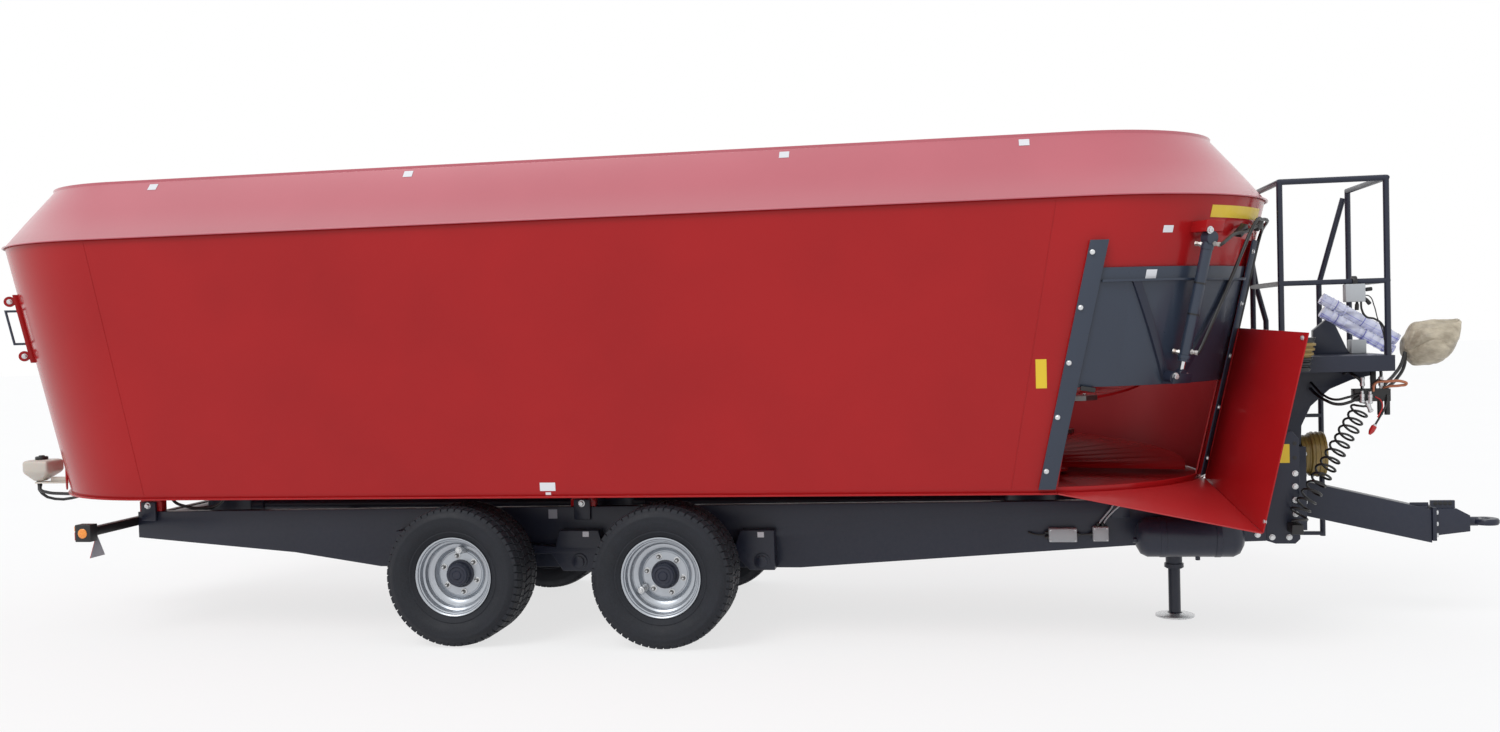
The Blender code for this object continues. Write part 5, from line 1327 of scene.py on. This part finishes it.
part("reservoirCap", [cap, neck], blackPlastic)
tankRoute = [(-8.345, -0.41, 1.02), (-8.335, -0.43, 0.985), (-8.27, -0.45, 0.965), (-8.12, -0.47, 0.955),
             (-7.9, -0.48, 0.958), (-7.68, -0.48, 0.972)]
ready(line("reservoirHoseTwo", tankRoute, 0.012), hoseRubber)
bpy.ops.mesh.primitive_torus_add(major_radius=0.05, minor_radius=0.0065, major_segments=36,
                                 minor_segments=12)
ring = bpy.context.object
smooth(ring)
upright = Matrix.Rotation(math.radians(90), 4, "X")
ring.matrix_world = Matrix.Diagonal((0.7, 1, 1.6, 1)) @ upright @ ring.matrix_world
spot = rearSkin(50, 1.105, 0.006)
ring.matrix_world = Matrix.Translation(spot) @ Matrix.Rotation(math.radians(-50), 4, "Z") @ ring.matrix_world
part("tieRing", ring, redPaint)

fromCad("light_bar", blackPlastic, 0.004)
for side, way in (("right", -1), ("left", 1)):
    second(fromCad("triangle_" + side, redLens, 0.0008), greyLabel, lambda m: m.x > -7.5048)
    lens = lathe([(0, 0), (0.034, 0), (0.034, 0.004), (0.031, 0.006), (0, 0.0075)],
                 (-7.49, way * 1.1, 0.75), (0, way, 0), 40)
    part("sideReflector_" + side, lens, orange)
    near, far = sorted((way * 1.025, way * 1.095))
    lenses = (("tailLens_", 0.7, 0.758, redLens), ("indicatorLens_", 0.764, 0.801, orange))
    for name, low, high, look in lenses:
        part(name + side, block((-7.5585, near, low), (-7.5495, far, high), 0.003), look)
    stem = block((-7.52, way * 0.93 - 0.012, 0.6), (-7.5105, way * 0.93 + 0.012, 0.722), 0.001)
    part("triangleStem_" + side, stem, blackPlastic)
print("rear done")

# Weld seams where the hopper's ends meet its straight sides; the front ones stand clear of the door's guide
weld = {"low": 1.02, "high": 2.765, "radius": 0.0028, "back": {"front": -0.16, "rear": 0.0}}
for name, skin in (("front", frontSkin), ("rear", rearSkin)):
    beads = []
    for way in (1, -1):
        low, high = skin(0, weld["low"]), skin(0, weld["high"])
        shift = Vector((weld["back"][name], 0, 0))
        start, end = (Vector((p.x, p.y * way, p.z)) + shift for p in (low, high))
        beads.append(bar(start, end, weld["radius"], 10))
    part("seamBeads_" + name, beads, redPaint)
print("seams done")


# Floor, light and background
def backgroundRay(tree):
    # 1 for rays from the camera, in mirrors and through clear parts
    path = tree.nodes.new("ShaderNodeLightPath")
    total = path.outputs["Is Camera Ray"]
    for name in ("Is Glossy Ray", "Is Transmission Ray"):
        total = combined(tree, "MAXIMUM", total, path.outputs[name])
    return total


def addStage():
    bpy.ops.mesh.primitive_plane_add(size=160, location=(-3.3, 0, 0))
    floor = bpy.context.object
    floor.name = "studioFloor"
    look, tree, shader = newMaterial("studioFloor", (0.86, 0.86, 0.86), 0.85, Specular_IOR_Level=0.1)
    shade = noiseNode(tree, 0.6, 3)
    tree.links.new(blended(tree, shade, 0.3, 0.7, (0.86, 0.86, 0.86), (0.84, 0.84, 0.845)),
                   shader.inputs["Base Color"])
    glow = tree.nodes.new("ShaderNodeEmission")
    glow.inputs["Color"].default_value = (1, 1, 1, 1)
    share = tree.nodes.new("ShaderNodeMath")
    share.operation = "MULTIPLY"
    share.inputs[1].default_value = 0.72
    tree.links.new(backgroundRay(tree), share.inputs[0])
    mix = tree.nodes.new("ShaderNodeMixShader")
    tree.links.new(share.outputs[0], mix.inputs[0])
    tree.links.new(shader.outputs[0], mix.inputs[1])
    tree.links.new(glow.outputs[0], mix.inputs[2])
    tree.links.new(mix.outputs[0], tree.nodes["Material Output"].inputs["Surface"])
    floor.data.materials.append(look)
    world = bpy.data.worlds.new("studio")
    bpy.context.scene.world = world
    world.use_nodes = True
    tree = world.node_tree
    tree.nodes.clear()
    sky = tree.nodes.new("ShaderNodeBackground")
    white = tree.nodes.new("ShaderNodeBackground")
    mix = tree.nodes.new("ShaderNodeMixShader")
    out = tree.nodes.new("ShaderNodeOutputWorld")
    sky.inputs["Color"].default_value = (0.95, 0.97, 1.0, 1)
    sky.inputs["Strength"].default_value = 0.85
    white.inputs["Color"].default_value = (1, 1, 1, 1)
    white.inputs["Strength"].default_value = 1.0
    tree.links.new(backgroundRay(tree), mix.inputs["Fac"])
    tree.links.new(sky.outputs[0], mix.inputs[1])
    tree.links.new(white.outputs[0], mix.inputs[2])
    tree.links.new(mix.outputs[0], out.inputs["Surface"])
    bpy.ops.object.light_add(type="SUN", location=(0, -8, 12))
    sun = bpy.context.object
    sun.rotation_euler = (math.radians(38), math.radians(-14), math.radians(-12))
    sun.data.energy = 1.1
    sun.data.angle = math.radians(28)
    bpy.context.scene.view_settings.view_transform = "Standard"


addStage()
print("stage done")
